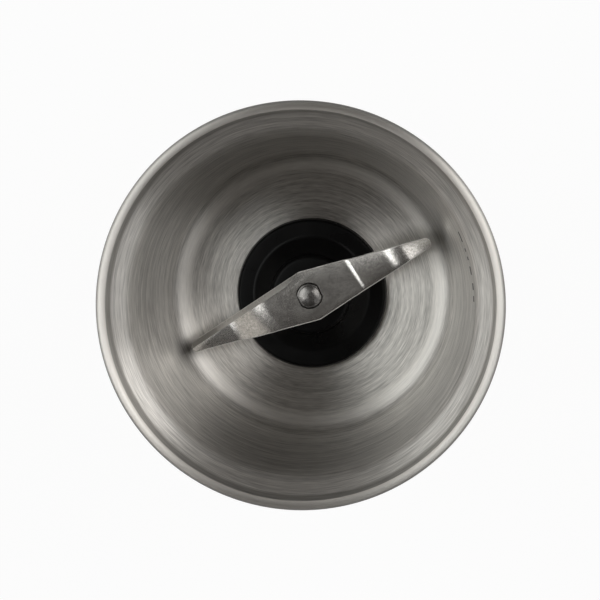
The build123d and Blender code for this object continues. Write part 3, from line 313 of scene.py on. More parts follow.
def cup_painted_light(tree, colour, tone, rough):
    """Painted highlights on the tight corner of the floor and on the lip: their colour is made brighter, and
    they are made a little rougher. Painted shade on the seat under the lip and on the lip's outer shoulder:
    darker colour."""
    radius, height = round_the_axis(tree)[2:]
    corner = math(
        tree, "MULTIPLY", ramp(tree, radius, *CORNER_IN), ramp(tree, radius, *CORNER_OUT, falling=True)
    )
    lip = ramp(tree, height, RIM_Z - 1.9, RIM_Z - 0.9)
    # Painted highlight: the corner and the lip get a brighter colour; the same mask makes them a little
    # rougher.
    painted_highlight_mask = math(tree, "ADD", math(tree, "MULTIPLY", corner, 0.58), math(tree, "MULTIPLY", lip, 0.97))
    brighter = tuple(min(1.0, c * 1.55) for c in colour)
    tone = blend_colours(tree, painted_highlight_mask, tone, (*brighter, 1))
    rough = math(tree, "ADD", rough, math(tree, "MULTIPLY", painted_highlight_mask, 0.12))
    # Painted shade: the seat under the lip and the lip's outer shoulder get a darker colour.
    seat = math(
        tree, "MULTIPLY",
        ramp(tree, height, RIM_Z - 5.5, RIM_Z - 4.5),
        ramp(tree, height, RIM_Z - 1.6, RIM_Z - 1.1, falling=True),
    )
    shoulder = math(
        tree, "MULTIPLY", ramp(tree, radius, *SHOULDER), ramp(tree, height, RIM_Z - 1.8, RIM_Z - 1.2)
    )
    painted_shade_mask = math(tree, "MAXIMUM", math(tree, "MULTIPLY", seat, 0.4), math(tree, "MULTIPLY", shoulder, 0.8))
    return blend_colours(tree, painted_shade_mask, tone, (*(c * 0.3 for c in colour), 1)), rough


def turned_steel(name, colour, roughness, anisotropy, contrast, bump, upright=1.0, patches=None):
    """Sheet steel brushed round and round on a lathe. The function given last, if any, changes its tone and
    roughness in places; the cup's one paints highlights and shade into its colour.
    """
    finish, tree, bsdf = new_finish(
        name, colour, roughness, metallic=1.0, Anisotropic=anisotropy, Anisotropic_Rotation=0.25
    )
    coarse = ring_noise(tree, *COARSE_RINGS, upright)
    fine = ring_noise(tree, *FINE_RINGS, upright)
    rings = math(tree, "ADD", math(tree, "MULTIPLY", coarse, 0.45), math(tree, "MULTIPLY", fine, 0.55))
    dark = tuple(c * (1 - contrast) for c in colour)
    light = tuple(c * (1 + contrast) for c in colour)
    tone = blend_colours(tree, remap(tree, rings, 0.3, 0.7, 0, 1), (*dark, 1), (*light, 1))
    rough = remap(tree, rings, 0.3, 0.7, roughness - 0.02, roughness + 0.02)
    if patches is not None:
        tone, rough = patches(tree, colour, tone, rough)
    shade(tree, bsdf, tone, rough, fine, bump)
    tangent = add(tree, "ShaderNodeTangent", direction_type="RADIAL", axis="Z")
    tree.links.new(tangent.outputs[0], bsdf.inputs["Tangent"])
    return finish


# The cup's steel carries painted highlights on the floor's corner and the lip, and painted shade on the lid's
# seat and the lip's outer shoulder.
CUP_STEEL = turned_steel(
    "cup_steel", (0.62, 0.603, 0.575), 0.38, 0.95, contrast=0.34, bump=0.000004, upright=0.45, patches=cup_painted_light
)
SLEEVE_STEEL = turned_steel("sleeve_steel", (0.5, 0.49, 0.475), 0.34, 0.75, contrast=0.14, bump=0.000006)
print("turned steels", CUP_STEEL.name, SLEEVE_STEEL.name)


# %% Blade steel
def mill_steel():
    """Cold-rolled strip: a fine speckled grain in its colour, and a slightly cloudy polish."""
    finish, tree, bsdf = new_finish("blade_mill_finish", (0.5, 0.485, 0.46), 0.25, metallic=1.0)
    dark, light = (0.37, 0.361, 0.346, 1), (0.63, 0.613, 0.586, 1)
    grain = spot_noise(tree, 2100.0, 1.0)
    clouds = spot_noise(tree, 300.0, 3.0)
    mixed = math(tree, "ADD", math(tree, "MULTIPLY", grain, 0.8), math(tree, "MULTIPLY", clouds, 0.2))
    tone = blend_colours(tree, remap(tree, mixed, 0.3, 0.7, 0, 1), dark, light)
    rough = remap(tree, clouds, 0.3, 0.7, 0.245, 0.265)
    shade(tree, bsdf, tone, rough)
    return finish


def ground_steel():
    """The ground edge: short scratches straight across it."""
    finish, tree, bsdf = new_finish("blade_ground_edge", (0.58, 0.57, 0.55), 0.32, metallic=1.0)
    scratches = spot_noise(tree, 1100.0, 3.0, (6, 1, 1))
    rough = remap(tree, scratches, 0.3, 0.7, 0.24, 0.42)
    shade(tree, bsdf, None, rough, scratches, 0.0000015)
    return finish


def peened_steel():
    """A hammered end: shallow broad dents, and dark."""
    finish, tree, bsdf = new_finish("peened_steel", (0.21, 0.203, 0.197), 0.3, metallic=1.0)
    dents = spot_noise(tree, 420.0, 1.0)
    fine = spot_noise(tree, 3200.0, 2.0)
    height = math(tree, "ADD", dents, math(tree, "MULTIPLY", fine, 0.12))
    shade(tree, bsdf, None, remap(tree, fine, 0.3, 0.7, 0.25, 0.35), height, 0.00016)
    return finish


MILL_STEEL = mill_steel()
GROUND_STEEL = ground_steel()
PEENED_STEEL = peened_steel()
print("blade steels made")


# %% Plastics and rubber
def moulded_plastic(name, colour, roughness, grain=0.00002, per_metre=2600.0, specular=0.5):
    """Injection-moulded plastic with a spark-eroded grain and a slightly uneven gloss."""
    finish, tree, bsdf = new_finish(name, colour, roughness, Specular_IOR_Level=specular)
    texture = spot_noise(tree, per_metre, 2.0)
    patches = spot_noise(tree, 90.0, 3.0)
    rough = remap(tree, patches, 0.3, 0.7, roughness - 0.05, roughness + 0.06)
    lighter = tuple(c * 1.5 for c in colour)
    tone = blend_colours(tree, remap(tree, patches, 0.35, 0.7, 0, 1), (*colour, 1), (*lighter, 1))
    shade(tree, bsdf, tone, rough, texture, grain)
    return finish


HUB_PLASTIC = moulded_plastic("hub_plastic", (0.0025, 0.0025, 0.0026), 0.3, 0.000004, specular=0.11)
BODY_PLASTIC = moulded_plastic("body_plastic", (0.013, 0.013, 0.014), 0.46)
GLOSS_PLASTIC = moulded_plastic("gloss_plastic", (0.010, 0.010, 0.011), 0.16, 0.000002)
NYLON = moulded_plastic("natural_nylon", (0.66, 0.63, 0.56), 0.42)
RED_PLASTIC = moulded_plastic("red_plastic", (0.42, 0.02, 0.015), 0.35)
RUBBER = moulded_plastic("rubber", (0.018, 0.018, 0.018), 0.7, 0.00003, 1900.0)
CARBON = moulded_plastic("carbon", (0.03, 0.03, 0.032), 0.55, 0.00003, 4000.0)
print("plastics and rubber made")


# %% Plain metals
def plain_metal(name, colour, roughness, per_metre=1800.0, bump=0.00001, stretch=(1, 1, 1)):
    """Metal with fine tool marks and an uneven polish."""
    finish, tree, bsdf = new_finish(name, colour, roughness, metallic=1.0)
    marks = spot_noise(tree, per_metre, 3.0, stretch)
    stains = spot_noise(tree, 140.0, 3.0)
    dull = tuple(c * 0.78 for c in colour)
    tone = blend_colours(tree, remap(tree, stains, 0.35, 0.7, 0, 1), (*dull, 1), (*colour, 1))
    shade(tree, bsdf, tone, remap(tree, marks, 0.3, 0.7, roughness - 0.07, roughness + 0.09), marks, bump)
    return finish


SHAFT_STEEL = plain_metal("shaft_steel", (0.62, 0.61, 0.6), 0.22, 900.0, 0.00001, (0.3, 0.3, 8))
ZINC = plain_metal("zinc_plate", (0.6, 0.6, 0.57), 0.3)
BRONZE = plain_metal("sintered_bronze", (0.55, 0.36, 0.17), 0.48, 3600.0, 0.00002)
BRASS = plain_metal("brass_strip", (0.72, 0.55, 0.24), 0.28)
DIE_CAST = plain_metal("die_cast_alloy", (0.55, 0.55, 0.54), 0.45, 1500.0, 0.00004)
COPPER = plain_metal("commutator_copper", (0.68, 0.33, 0.18), 0.25, 900.0, 0.00001, (0.3, 0.3, 8))
# Tumbling leaves the blade's edges matt, so that they catch light from any side. Their colour is brighter
# than steel's, a painted highlight along the edges.
TUMBLED_EDGE_PAINTED_HIGHLIGHT = plain_metal("blade_tumbled_edge_painted_highlight", (0.92, 0.905, 0.88), 0.85)
# Painted shade: the fill mark's dents are drawn as dark strokes.
FILL_MARK_PAINTED_SHADE = plain_metal("fill_mark_painted_shade", (0.2, 0.195, 0.19), 0.5, 2600.0)
print("plain metals made")


# %% Windings and laminations
def layered(name, first, second, per_metre, roughness, metallic, tilt, bump):
    """Fine parallel lines: wire laid side by side, or sheets stacked on each other."""
    finish, tree, bsdf = new_finish(name, first, roughness, metallic=metallic)
    place = add(tree, "ShaderNodeTexCoord").outputs["Object"]
    turned = add(tree, "ShaderNodeMapping", {"Vector": place, "Rotation": tilt}).outputs[0]
    waves = {"Vector": turned, "Scale": per_metre, "Distortion": 0.6, "Detail": 1.0}
    lines = add(tree, "ShaderNodeTexWave", waves, bands_direction="Z").outputs["Fac"]
    tone = blend_colours(tree, lines, (*second, 1), (*first, 1))
    shade(tree, bsdf, tone, None, lines, bump)
    return finish


LAMINATION = layered(
    "core_laminations", (0.3, 0.3, 0.31), (0.1, 0.1, 0.105), 160.0, 0.5, 0.8, (0, 0, 0), 0.00008
)
WINDING = layered(
    "enamelled_wire", (0.62, 0.25, 0.1), (0.2, 0.07, 0.03), 160.0, 0.3, 0.9, (pi / 2, 0, 0), 0.00012
)
print("windings and laminations made")

# %% [markdown]
# ## Turned pieces
#
# The cup, the hub and the base's shell are round. Such a piece could be a lathe modifier or a revolved curve.
# Here a few corner points are spun into a mesh, and then each ring of edges is bevelled by its own radius,
# the way a drawing gives fillets. The sheet gets its thickness last.


# %% Helpers for shapes
def whole(bm):
    """All of a mesh, for the operators that want its geometry."""
    return [*bm.verts, *bm.edges, *bm.faces]


def only(kind, geom):
    """The elements of one kind in a mixed list."""
    return [g for g in geom if isinstance(g, kind)]


def sweep(bm, geom, angle, steps, rise=0.0, merge=False, duplicate=False):
    """Spins geometry round the Z axis in steps, and lifts it by rise (mm) at each step."""
    bmesh.ops.spin(
        bm, geom=geom, cent=(0, 0, 0), axis=(0, 0, 1), dvec=(0, 0, rise * MM), angle=angle, steps=steps,
        space=Matrix.Identity(4), use_merge=merge, use_normal_flip=False, use_duplicate=duplicate,
    )


def rotate(bm, verts, angle, axis="Z"):
    """Turns vertices about an axis through the origin."""
    bmesh.ops.rotate(bm, verts=verts, cent=(0, 0, 0), matrix=Matrix.Rotation(angle, 3, axis))


def bevel(bm, geom, offset, segments, affect="EDGES", clamp=False):
    """Rounds edges or corners by an offset in millimetres and returns the new faces."""
    return bmesh.ops.bevel(
        bm, geom=geom, offset=offset * MM, offset_type="OFFSET", segments=segments, profile=0.5,
        affect=affect, clamp_overlap=clamp, material=-1,
    )["faces"]


def thicken(bm, up, sheet):
    """Turns an open sheet's faces over if up is negative, and gives it its thickness (mm) on their back,
    or on their front if that is negative."""
    if up < 0:
        bmesh.ops.reverse_faces(bm, faces=bm.faces)
    bmesh.ops.solidify(bm, geom=bm.faces, thickness=sheet * MM)


def close_outwards(bm):
    """Turns a closed shell's faces outwards."""
    if bm.calc_volume(signed=True) < 0:
        bmesh.ops.reverse_faces(bm, faces=bm.faces)


# %% Helpers for turned pieces
def spin(points, closed=False, steps=192):
    """Spins corner points (radius, height), in millimetres, all round the Z axis."""
    bm = bmesh.new()
    verts = [bm.verts.new((r * MM, 0, z * MM)) for r, z in points]
    ends = zip(verts, verts[1:] + verts[:1]) if closed else zip(verts, verts[1:])
    edges = [bm.edges.new(pair) for pair in ends]
    sweep(bm, verts + edges, tau, steps, merge=True)
    bmesh.ops.remove_doubles(bm, verts=bm.verts, dist=1e-7)
    bmesh.ops.recalc_face_normals(bm, faces=bm.faces)
    return bm


def ring(bm, r, z):
    """The edges of the circle at that radius and height, in millimetres."""
    def on_it(v):
        return abs(hypot(v.co.x, v.co.y) - r * MM) < 2e-6 and abs(v.co.z - z * MM) < 2e-6
    return [e for e in bm.edges if on_it(e.verts[0]) and on_it(e.verts[1])]


def round_ring(bm, r, z, radius, segments=6):
    """Rounds the corner at that circle with a fillet of that radius, in millimetres."""
    edges = ring(bm, r, z)
    turn = edges[0].calc_face_angle()
    bevel(bm, edges, radius * tan(turn / 2), segments, clamp=True)


def piece(name, bm, finishes, body, slot, *nodes, sharp=32):
    """Makes the object, gives it its finish, hangs it on its body's empty and hides the CAD parts it stands
    for.
    """
    mesh = bpy.data.meshes.new(name)
    bm.to_mesh(mesh)
    bm.free()
    mesh.shade_smooth()
    mesh.set_sharp_from_angle(angle=radians(sharp))
    for finish in finishes:
        mesh.materials.append(finish)
    made = bpy.data.objects.new(name, mesh)
    bpy.context.collection.objects.link(made)
    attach(made, body)
    if nodes:
        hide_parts(*nodes)
    print(name, len(mesh.polygons), "faces")
    return made


# %% [markdown]
# ## The cup
#
# A drawn cup of 0.8 mm stainless sheet. From outside to inside: a lip curled down with a rounded top, a steep
# narrow seat for the lid, a flare, a long tapered wall, a rounded corner and a floor with a hole for the hub.
# It is one open profile, bevelled ring by ring and then thickened outwards. A solid cup with its inside cut
# away would need every radius twice.

# %% The cup
SHEET = 0.8
LIP_DEPTH = 3.2
LIP_INSIDE = 46.05  # radius of the lip's inner edge
SEAT_RADIUS, SEAT_DROP = 45.3, 5.2  # foot of the lid's seat, below the rim
WALL_TOP_RADIUS, WALL_TOP_DROP = 41.2, 8.4  # where the flare meets the wall
FLOOR_RADIUS = 35.9
FLOOR_Z = RIM_Z - CUP_DEPTH
cup_shape = spin(
    [
        (RIM_RADIUS, RIM_Z - LIP_DEPTH),
        (RIM_RADIUS, RIM_Z),
        (LIP_INSIDE, RIM_Z),
        (SEAT_RADIUS, RIM_Z - SEAT_DROP),
        (WALL_TOP_RADIUS, RIM_Z - WALL_TOP_DROP),
        (FLOOR_RADIUS, FLOOR_Z),
        (16.5, FLOOR_Z),
    ],
    steps=256,
)
for r, z, radius, segments in (
    (RIM_RADIUS, RIM_Z, 0.95, 8),
    (LIP_INSIDE, RIM_Z, 0.9, 8),
    (SEAT_RADIUS, RIM_Z - SEAT_DROP, 1.2, 6),
    (WALL_TOP_RADIUS, RIM_Z - WALL_TOP_DROP, 4.0, 8),
    (FLOOR_RADIUS, FLOOR_Z, 5.0, 12),
):
    round_ring(cup_shape, r, z, radius, segments)
floor_face = min(cup_shape.faces, key=lambda f: f.calc_center_median().z)
thicken(cup_shape, floor_face.normal.z, SHEET)
close_outwards(cup_shape)
piece("cup", cup_shape, [CUP_STEEL], "cup", "brushed_steel", "grinding_cup")

# %% [markdown]
# ## The fill mark
#
# A row of short strokes high on the cup's wall shows how far to fill it. The strokes stand for short dents,
# and their dark colour is painted shade for the inside of the dents. A stroke could be a stripe in the
# steel's material, or an image. Here each one is a sliver of a ring, spun through a few degrees, so that it
# follows the wall exactly and keeps its sharp edges.

# %% The fill mark
MARK_Z = RIM_Z - 11.9
STROKES = ((1.5, 1.4), (5.6, 1.6), (11.0, 2.0), (15.2, 0.9), (18.1, 0.8), (22.8, 2.6))  # degrees, length
STROKE_SECTION = ((-0.13, -0.9), (0.1, 0.9), (0.35, 0.9), (0.12, -0.9))  # outwards from the wall, and up
wall_lean = (WALL_TOP_RADIUS - FLOOR_RADIUS) / (CUP_DEPTH - WALL_TOP_DROP)
mark_radius = FLOOR_RADIUS + (MARK_Z - FLOOR_Z) * wall_lean
marks = bmesh.new()
for azimuth, length in STROKES:
    spread = length / mark_radius
    corners = [
        marks.verts.new(((mark_radius + out) * MM, 0, (MARK_Z + up) * MM)) for out, up in STROKE_SECTION
    ]
    stroke = marks.faces.new(corners)
    rotate(marks, corners, radians(azimuth) - spread / 2)
    sweep(marks, [stroke, *stroke.edges, *corners], spread, steps=6)
bmesh.ops.recalc_face_normals(marks, faces=marks.faces)
# The strokes' dark colour is painted shade for the dents.
piece("fill_mark", marks, [FILL_MARK_PAINTED_SHADE], "cup", "brushed_steel")

# %% [markdown]
# ## The hub
#
# The black hub is one moulding: a flat flange clamped on the floor, a sloped shoulder and a boss that
# carries the shaft's seal. It is spun as a closed profile, so its bore is open, and each corner gets the
# radius that a mould would give it.

# %% The hub
GASKET = 0.8
FLANGE_Z = FLOOR_Z + GASKET
HUB_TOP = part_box("shaft_seal")[1][2] / MM
SEAL_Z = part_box("shaft_seal")[0][2] / MM
SEAL_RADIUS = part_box("shaft_seal")[1][0] / MM
BUSH_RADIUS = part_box("cup_bush")[1][0] / MM
NECK_RADIUS = 16.3  # of the part that goes through the cup's floor
hub_corners = (  # radius, height and fillet of each corner on the outside, from the flange up
    (19.3, FLANGE_Z, 0.2),
    (18.7, FLANGE_Z + 2.0, 0.8),
    (14.5, FLANGE_Z + 2.0, 2.0),
    (10.2, FLANGE_Z + 5.0, 1.2),
    (9.8, HUB_TOP, 1.0),
)
hub_shape = spin(
    [
        (NECK_RADIUS, FLOOR_Z - SHEET),
        (NECK_RADIUS, FLANGE_Z),
        *((r, z) for r, z, _ in hub_corners),
        (SEAL_RADIUS, HUB_TOP),
        (SEAL_RADIUS, SEAL_Z),
        (BUSH_RADIUS, SEAL_Z),
        (BUSH_RADIUS, FLOOR_Z - SHEET),
    ],
    closed=True,
)
for r, z, radius in hub_corners:
    round_ring(hub_shape, r, z, radius)
close_outwards(hub_shape)
piece("hub", hub_shape, [HUB_PLASTIC], "cup", "black_plastic", "hub_disc")

# %% [markdown]
# ## The blade
#
# The blade is a strip of 1.5 mm steel, blanked to a long lozenge, bent up on one wing and down on the other,
# and ground along its two leading edges. The grind runs out to nothing at the middle of the blade, and
# tumbling has rounded every other edge. A press cuts the outline first and bends it afterwards. Here it is
# the other way round, which keeps both exact: a wide ribbon follows the bends, upright planes cut it to its
# outline, and the ribbon is thickened at the end. It is modelled with its bends square to X and turned to
# its angle last.

# %% The ribbon and its bends
BLADE_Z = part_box("blade_spacer")[1][2] / MM
BLADE_SHEET = 1.5
BLADE_ANGLE = 24.3  # of the blade's long axis, from +X towards +Y
TIP_RADIUS = 1.5
HALF_LENGTH = 33.15
HALF_WIDTH = 6.6
FLAT_END, LOW_FOOT, HIGH_CREST = 13.0, 19.7, 24.0  # how far from the shaft's axis each bend is
RIBBON_END = 40.0
wing_slope, tip_slope = tan(radians(25.0)), tan(radians(12.0))
low_z = BLADE_Z - (LOW_FOOT - FLAT_END) * wing_slope
crest_z = BLADE_Z + (HIGH_CREST - FLAT_END) * wing_slope
bends = [  # x, z and the radius on the underside
    (-LOW_FOOT, low_z, 9.0),
    (-FLAT_END, BLADE_Z, 13.5),
    (FLAT_END, BLADE_Z, 4.6),
    (HIGH_CREST, crest_z, 7.2),
]
tip_z = crest_z - (RIBBON_END - HIGH_CREST) * tip_slope
route = [(-RIBBON_END, low_z), *((x, z) for x, z, _ in bends), (RIBBON_END, tip_z)]

ribbon = bmesh.new()
line = [ribbon.verts.new((x * MM, -0.01, z * MM)) for x, z in route]
edges = [ribbon.edges.new(pair) for pair in zip(line, line[1:])]
wide = bmesh.ops.extrude_edge_only(ribbon, edges=edges)["geom"]
bmesh.ops.translate(ribbon, verts=only(bmesh.types.BMVert, wide), vec=(0, 0.02, 0))
for x, _, radius in bends:
    crease = [e for e in ribbon.edges if all(abs(v.co.x - x * MM) < 1e-6 for v in e.verts)]
    bevel(ribbon, crease, radius * tan(crease[0].calc_face_angle() / 2), 12)
print("ribbon", len(ribbon.faces), "faces")


# %% The blade's outline
def trim(bm, angle, reach, clear=True, faces=None):
    """Cuts all or some faces with the upright plane at that angle (radians) and distance (mm) from the axis.
    What is past the plane goes, or stays."""
    out = Vector((cos(angle), sin(angle), 0))
    geom = whole(bm) if faces is None else [g for f in faces for g in (f, *f.edges, *f.verts)]
    bmesh.ops.bisect_plane(
        bm, geom=list(dict.fromkeys(geom)), dist=1e-7, plane_co=out * reach * MM, plane_no=out,
        clear_outer=clear,
    )


tip_reach = HALF_LENGTH - TIP_RADIUS
edge_angle = atan(HALF_WIDTH / tip_reach) - asin(TIP_RADIUS / hypot(tip_reach, HALF_WIDTH))
edge_reach = HALF_WIDTH * cos(edge_angle)  # from the shaft's axis to each long edge
for angle in (pi / 2, pi / 2 - 2 * edge_angle, -pi / 2, -pi / 2 - 2 * edge_angle):
    trim(ribbon, angle, edge_reach)
for angle in (-edge_angle, pi - edge_angle):
    trim(ribbon, angle, HALF_LENGTH)
    out = Vector((cos(angle), sin(angle), 0))
    corners = [v for v in ribbon.verts if v.is_boundary and abs(v.co.dot(out) - HALF_LENGTH * MM) < 1e-6]
    corners = [v for v in corners if len(v.link_edges) == 2]
    # just short of a full half circle, so that the two roundings do not meet in one point
    bevel(ribbon, corners, 0.98 * TIP_RADIUS * tan((pi / 2 - edge_angle) / 2), 8, affect="VERTICES")
along_x = [v.co.x / MM for v in ribbon.verts]
print("outline", round(max(along_x) - min(along_x), 2), "mm along X")

# %% The ground edges
GRIND_WIDTH, GRIND_DEPTH = 1.4, 1.1
RUN_OUT = 5.0  # over this length the grind narrows to nothing at the middle of the blade
FLAT_REACH = 8.0  # faces nearer than this to the shaft's axis are flat
inner = edge_reach - GRIND_WIDTH
lean = atan(GRIND_WIDTH / RUN_OUT)
lean_reach = HALF_WIDTH * cos(edge_angle + lean)
for half_turn in (0, pi):
    trim(ribbon, pi / 2 + half_turn, inner, clear=False)
for half_turn in (0, pi):
    flat = [f for f in ribbon.faces if abs(f.calc_center_median().x) < FLAT_REACH * MM]
    trim(ribbon, pi / 2 + lean + half_turn, lean_reach, clear=False, faces=flat)
bmesh.ops.recalc_face_normals(ribbon, faces=ribbon.faces)
under = set(ribbon.verts)
thicken(ribbon, ribbon.faces[:][0].normal.z, -BLADE_SHEET)


def ground_at(place):
    """Side (+1 is ground from above, -1 from below) and the distance past the grind's inner lines, in mm."""
    side = 1 if place.y > 0 else -1
    x, y = side * place.x / MM, side * place.y / MM
    return side, min(y - inner, y * cos(lean) - x * sin(lean) - lean_reach)


for v in ribbon.verts:
    side, past = ground_at(v.co)
    if (v in under) == (side < 0) and past > 1e-4:
        v.co.z -= side * past * GRIND_DEPTH / GRIND_WIDTH * MM
bmesh.ops.remove_doubles(ribbon, verts=ribbon.verts, dist=1e-7)
close_outwards(ribbon)
ribbon.normal_update()
for face in ribbon.faces:
    side, past = ground_at(face.calc_center_median())
    if past > 0 and side * face.normal.z > 0.3:
        face.material_index = 1

# %% The tumbled edges
TUMBLING = 0.34
rims = [e for e in ribbon.edges if e.is_manifold and e.calc_face_angle() > radians(45)]
# The rounded edges take the third finish: matt, with a painted highlight in its bright colour.
for face in bevel(ribbon, rims, TUMBLING, 3, clamp=True):
    face.material_index = 2
rotate(ribbon, ribbon.verts, radians(BLADE_ANGLE) + edge_angle)
blade_finishes = [MILL_STEEL, GROUND_STEEL, TUMBLED_EDGE_PAINTED_HIGHLIGHT]
blade_strip = piece("blade_strip", ribbon, blade_finishes, "blade_unit", "blade_steel", "blade", sharp=20)

# %% [markdown]
# ## The shaft
#
# The shaft is turned, with two flats milled on its upper end. That end passes through a hole of the same
# shape in the blade and is hammered over, which leaves a low dome with a rolled rim. The shaft is spun, its
# end is spun as a piece of its own and cut by two planes, and the hole is cut with a Boolean modifier that is
# applied at once.


# %% Helpers for holes and flats
def bake(made):
    """Applies the modifiers of a piece to its mesh."""
    shape = bpy.data.meshes.new_from_object(made.evaluated_get(bpy.context.evaluated_depsgraph_get()))
    made.modifiers.clear()
    old, made.data = made.data, shape
    shape.name = made.name
    bpy.data.meshes.remove(old)


def drill(made, cutter_shape):
    """Cuts a closed mesh out of a piece."""
    mesh = bpy.data.meshes.new("cutter")
    cutter_shape.to_mesh(mesh)
    cutter_shape.free()
    cutter = bpy.data.objects.new("cutter", mesh)
    bpy.context.collection.objects.link(cutter)
    cut = made.modifiers.new("hole", "BOOLEAN")
    cut.object, cut.operation, cut.solver = cutter, "DIFFERENCE", "EXACT"
    bake(made)
    bpy.data.objects.remove(cutter)
    bpy.data.meshes.remove(mesh)


def mill_flats(bm, reach):
    """Cuts a round bar down to two flats, square to the blade's long axis."""
    for half_turn in (0, pi):
        angle = radians(BLADE_ANGLE) + half_turn
        out = Vector((cos(angle), sin(angle), 0))
        cut = bmesh.ops.bisect_plane(
            bm, geom=whole(bm), dist=1e-8, plane_co=out * reach * MM, plane_no=out, clear_outer=True
        )["geom_cut"]
        bmesh.ops.contextual_create(bm, geom=only(bmesh.types.BMEdge, cut))
    bmesh.ops.recalc_face_normals(bm, faces=bm.faces)


# %% The shaft and its hammered end
END_RADIUS, END_FLAT, FIT_GAP = 3.05, 2.7, 0.3
TOP_Z = BLADE_Z + BLADE_SHEET
SHAFT_FOOT_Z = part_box("blade_shaft")[0][2] / MM
SHAFT_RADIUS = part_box("blade_shaft")[1][0] / MM
DOME = (  # radius and height above the blade, from the rolled rim to the middle
    (END_RADIUS, 0.6),
    (END_RADIUS - 0.34, 0.66),
    (END_RADIUS - 0.5, 0.54),
    (1.9, 0.76),
    (1.2, 0.9),
    (0.5, 0.97),
    (0, 0.98),
)
BAR_CHAMFER = 0.3


def rod(radius, foot, top, steps=96):
    """A plain round bar."""
    return spin([(0, foot), (radius, foot), (radius, top), (0, top)], steps=steps)


hole = rod(END_RADIUS + FIT_GAP, BLADE_Z - 1, TOP_Z + 1)
mill_flats(hole, END_FLAT + FIT_GAP)
close_outwards(hole)
drill(blade_strip, hole)

neck = [(0, BLADE_Z - 0.2), (END_RADIUS, BLADE_Z - 0.2)]
shaft_shape = spin([*neck, *((r, TOP_Z + up) for r, up in DOME)], steps=96)
for (r, up), radius in zip(DOME, (0.18, 0.12)):
    round_ring(shaft_shape, r, TOP_Z + up, radius, 3)
mill_flats(shaft_shape, END_FLAT)
bar = rod(SHAFT_RADIUS, SHAFT_FOOT_Z, BLADE_Z)
for z in (SHAFT_FOOT_Z, BLADE_Z):
    round_ring(bar, SHAFT_RADIUS, z, BAR_CHAMFER, 2)
bar_mesh = bpy.data.meshes.new("bar")
bar.to_mesh(bar_mesh)
bar.free()
shaft_shape.from_mesh(bar_mesh)
bpy.data.meshes.remove(bar_mesh)
close_outwards(shaft_shape)
piece("shaft", shaft_shape, [PEENED_STEEL], "blade_unit", "shaft_steel", "blade_shaft")

# %% [markdown]
# ## The base's shell
#
# The base is a brushed steel sleeve with a slight waist, between a black ring above and a black cover below.
# The waist is one ring in the middle of the profile, bevelled so wide that the whole side becomes one curve.
# The hole for the button is drilled like the hole in the blade.


# %% Helpers for turned fronts and copies
def face_front(bm, up, front=-1):
    """Turns a shape spun round Z to lie along Y at height up, with its top to the front (or the back)."""
    rotate(bm, bm.verts, -front * pi / 2, "X")
    bmesh.ops.translate(bm, verts=bm.verts, vec=(0, 0, up * MM))


def copy_to(bm, places):
    """Repeats a shape at each (x, y), in millimetres, and takes the first one away."""
    first = whole(bm)
    for x, y in places:
        made = bmesh.ops.duplicate(bm, geom=first)["geom"]
        bmesh.ops.translate(bm, verts=only(bmesh.types.BMVert, made), vec=(x * MM, y * MM, 0))
    bmesh.ops.delete(bm, geom=only(bmesh.types.BMVert, first), context="VERTS")


# %% The sleeve
SLEEVE_FOOT_Z, SLEEVE_TOP_Z = (corner[2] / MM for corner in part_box("steel_sleeve"))
SLEEVE_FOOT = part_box("steel_sleeve")[1][0] / MM
SLEEVE_TOP = SLEEVE_FOOT - 2.0
WAIST = (SLEEVE_FOOT + SLEEVE_TOP) / 2 - 1.4
BUTTON_Z = sum(corner[2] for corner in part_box("push_button")) / 2 / MM
BEZEL_RADIUS = 9.35  # of the part of the button's frame that goes through the sleeve
waist_z = (SLEEVE_FOOT_Z + SLEEVE_TOP_Z) / 2
sleeve_shape = spin([(SLEEVE_FOOT, SLEEVE_FOOT_Z), (WAIST, waist_z), (SLEEVE_TOP, SLEEVE_TOP_Z)], steps=256)
bevel(sleeve_shape, ring(sleeve_shape, WAIST, waist_z), 0.97 * (waist_z - SLEEVE_FOOT_Z), 16)
outside = sleeve_shape.faces[:][0]
thicken(sleeve_shape, outside.normal.dot(outside.calc_center_median()), SHEET)
close_outwards(sleeve_shape)
sleeve = piece("sleeve", sleeve_shape, [SLEEVE_STEEL], "base", "brushed_steel", "steel_sleeve")

button_hole = bmesh.new()
radius = BEZEL_RADIUS * MM
bmesh.ops.create_cone(
    button_hole, cap_ends=True, segments=96, radius1=radius, radius2=radius, depth=20 * MM
)
face_front(button_hole, BUTTON_Z)
bmesh.ops.translate(button_hole, verts=button_hole.verts, vec=(0, -SLEEVE_FOOT * MM, 0))
drill(sleeve, button_hole)

# %% The top ring
COLLAR_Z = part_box("top_collar")[1][2] / MM
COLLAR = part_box("top_collar")[1][0] / MM
DECK_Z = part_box("top_collar")[0][2] / MM
SEAT_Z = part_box("cup_base")[0][2] / MM
WELL = 36.4
WELL_GAP = 0.6  # between the well and the cup
WELL_WALL = 2.4
SEAT_HOLE = 14.0
BAND_Z = FLOOR_Z + 6  # above it the well widens with the cup
HOLLOW_Z = SLEEVE_TOP_Z + 2
SPIGOT_DEPTH = 8.0
SPIGOT_OUTSIDE = SLEEVE_TOP - 1.2
SPIGOT_INSIDE = SLEEVE_TOP - 3.4
wall_slope = (41.6 - FLOOR_RADIUS) / 45.4  # of the CAD cup's wall


def well_at(z):
    """Radius of the well round the cup's wall at height z."""
    return FLOOR_RADIUS + (z - FLOOR_Z) * wall_slope + SHEET * sqrt(1 + wall_slope**2) + WELL_GAP


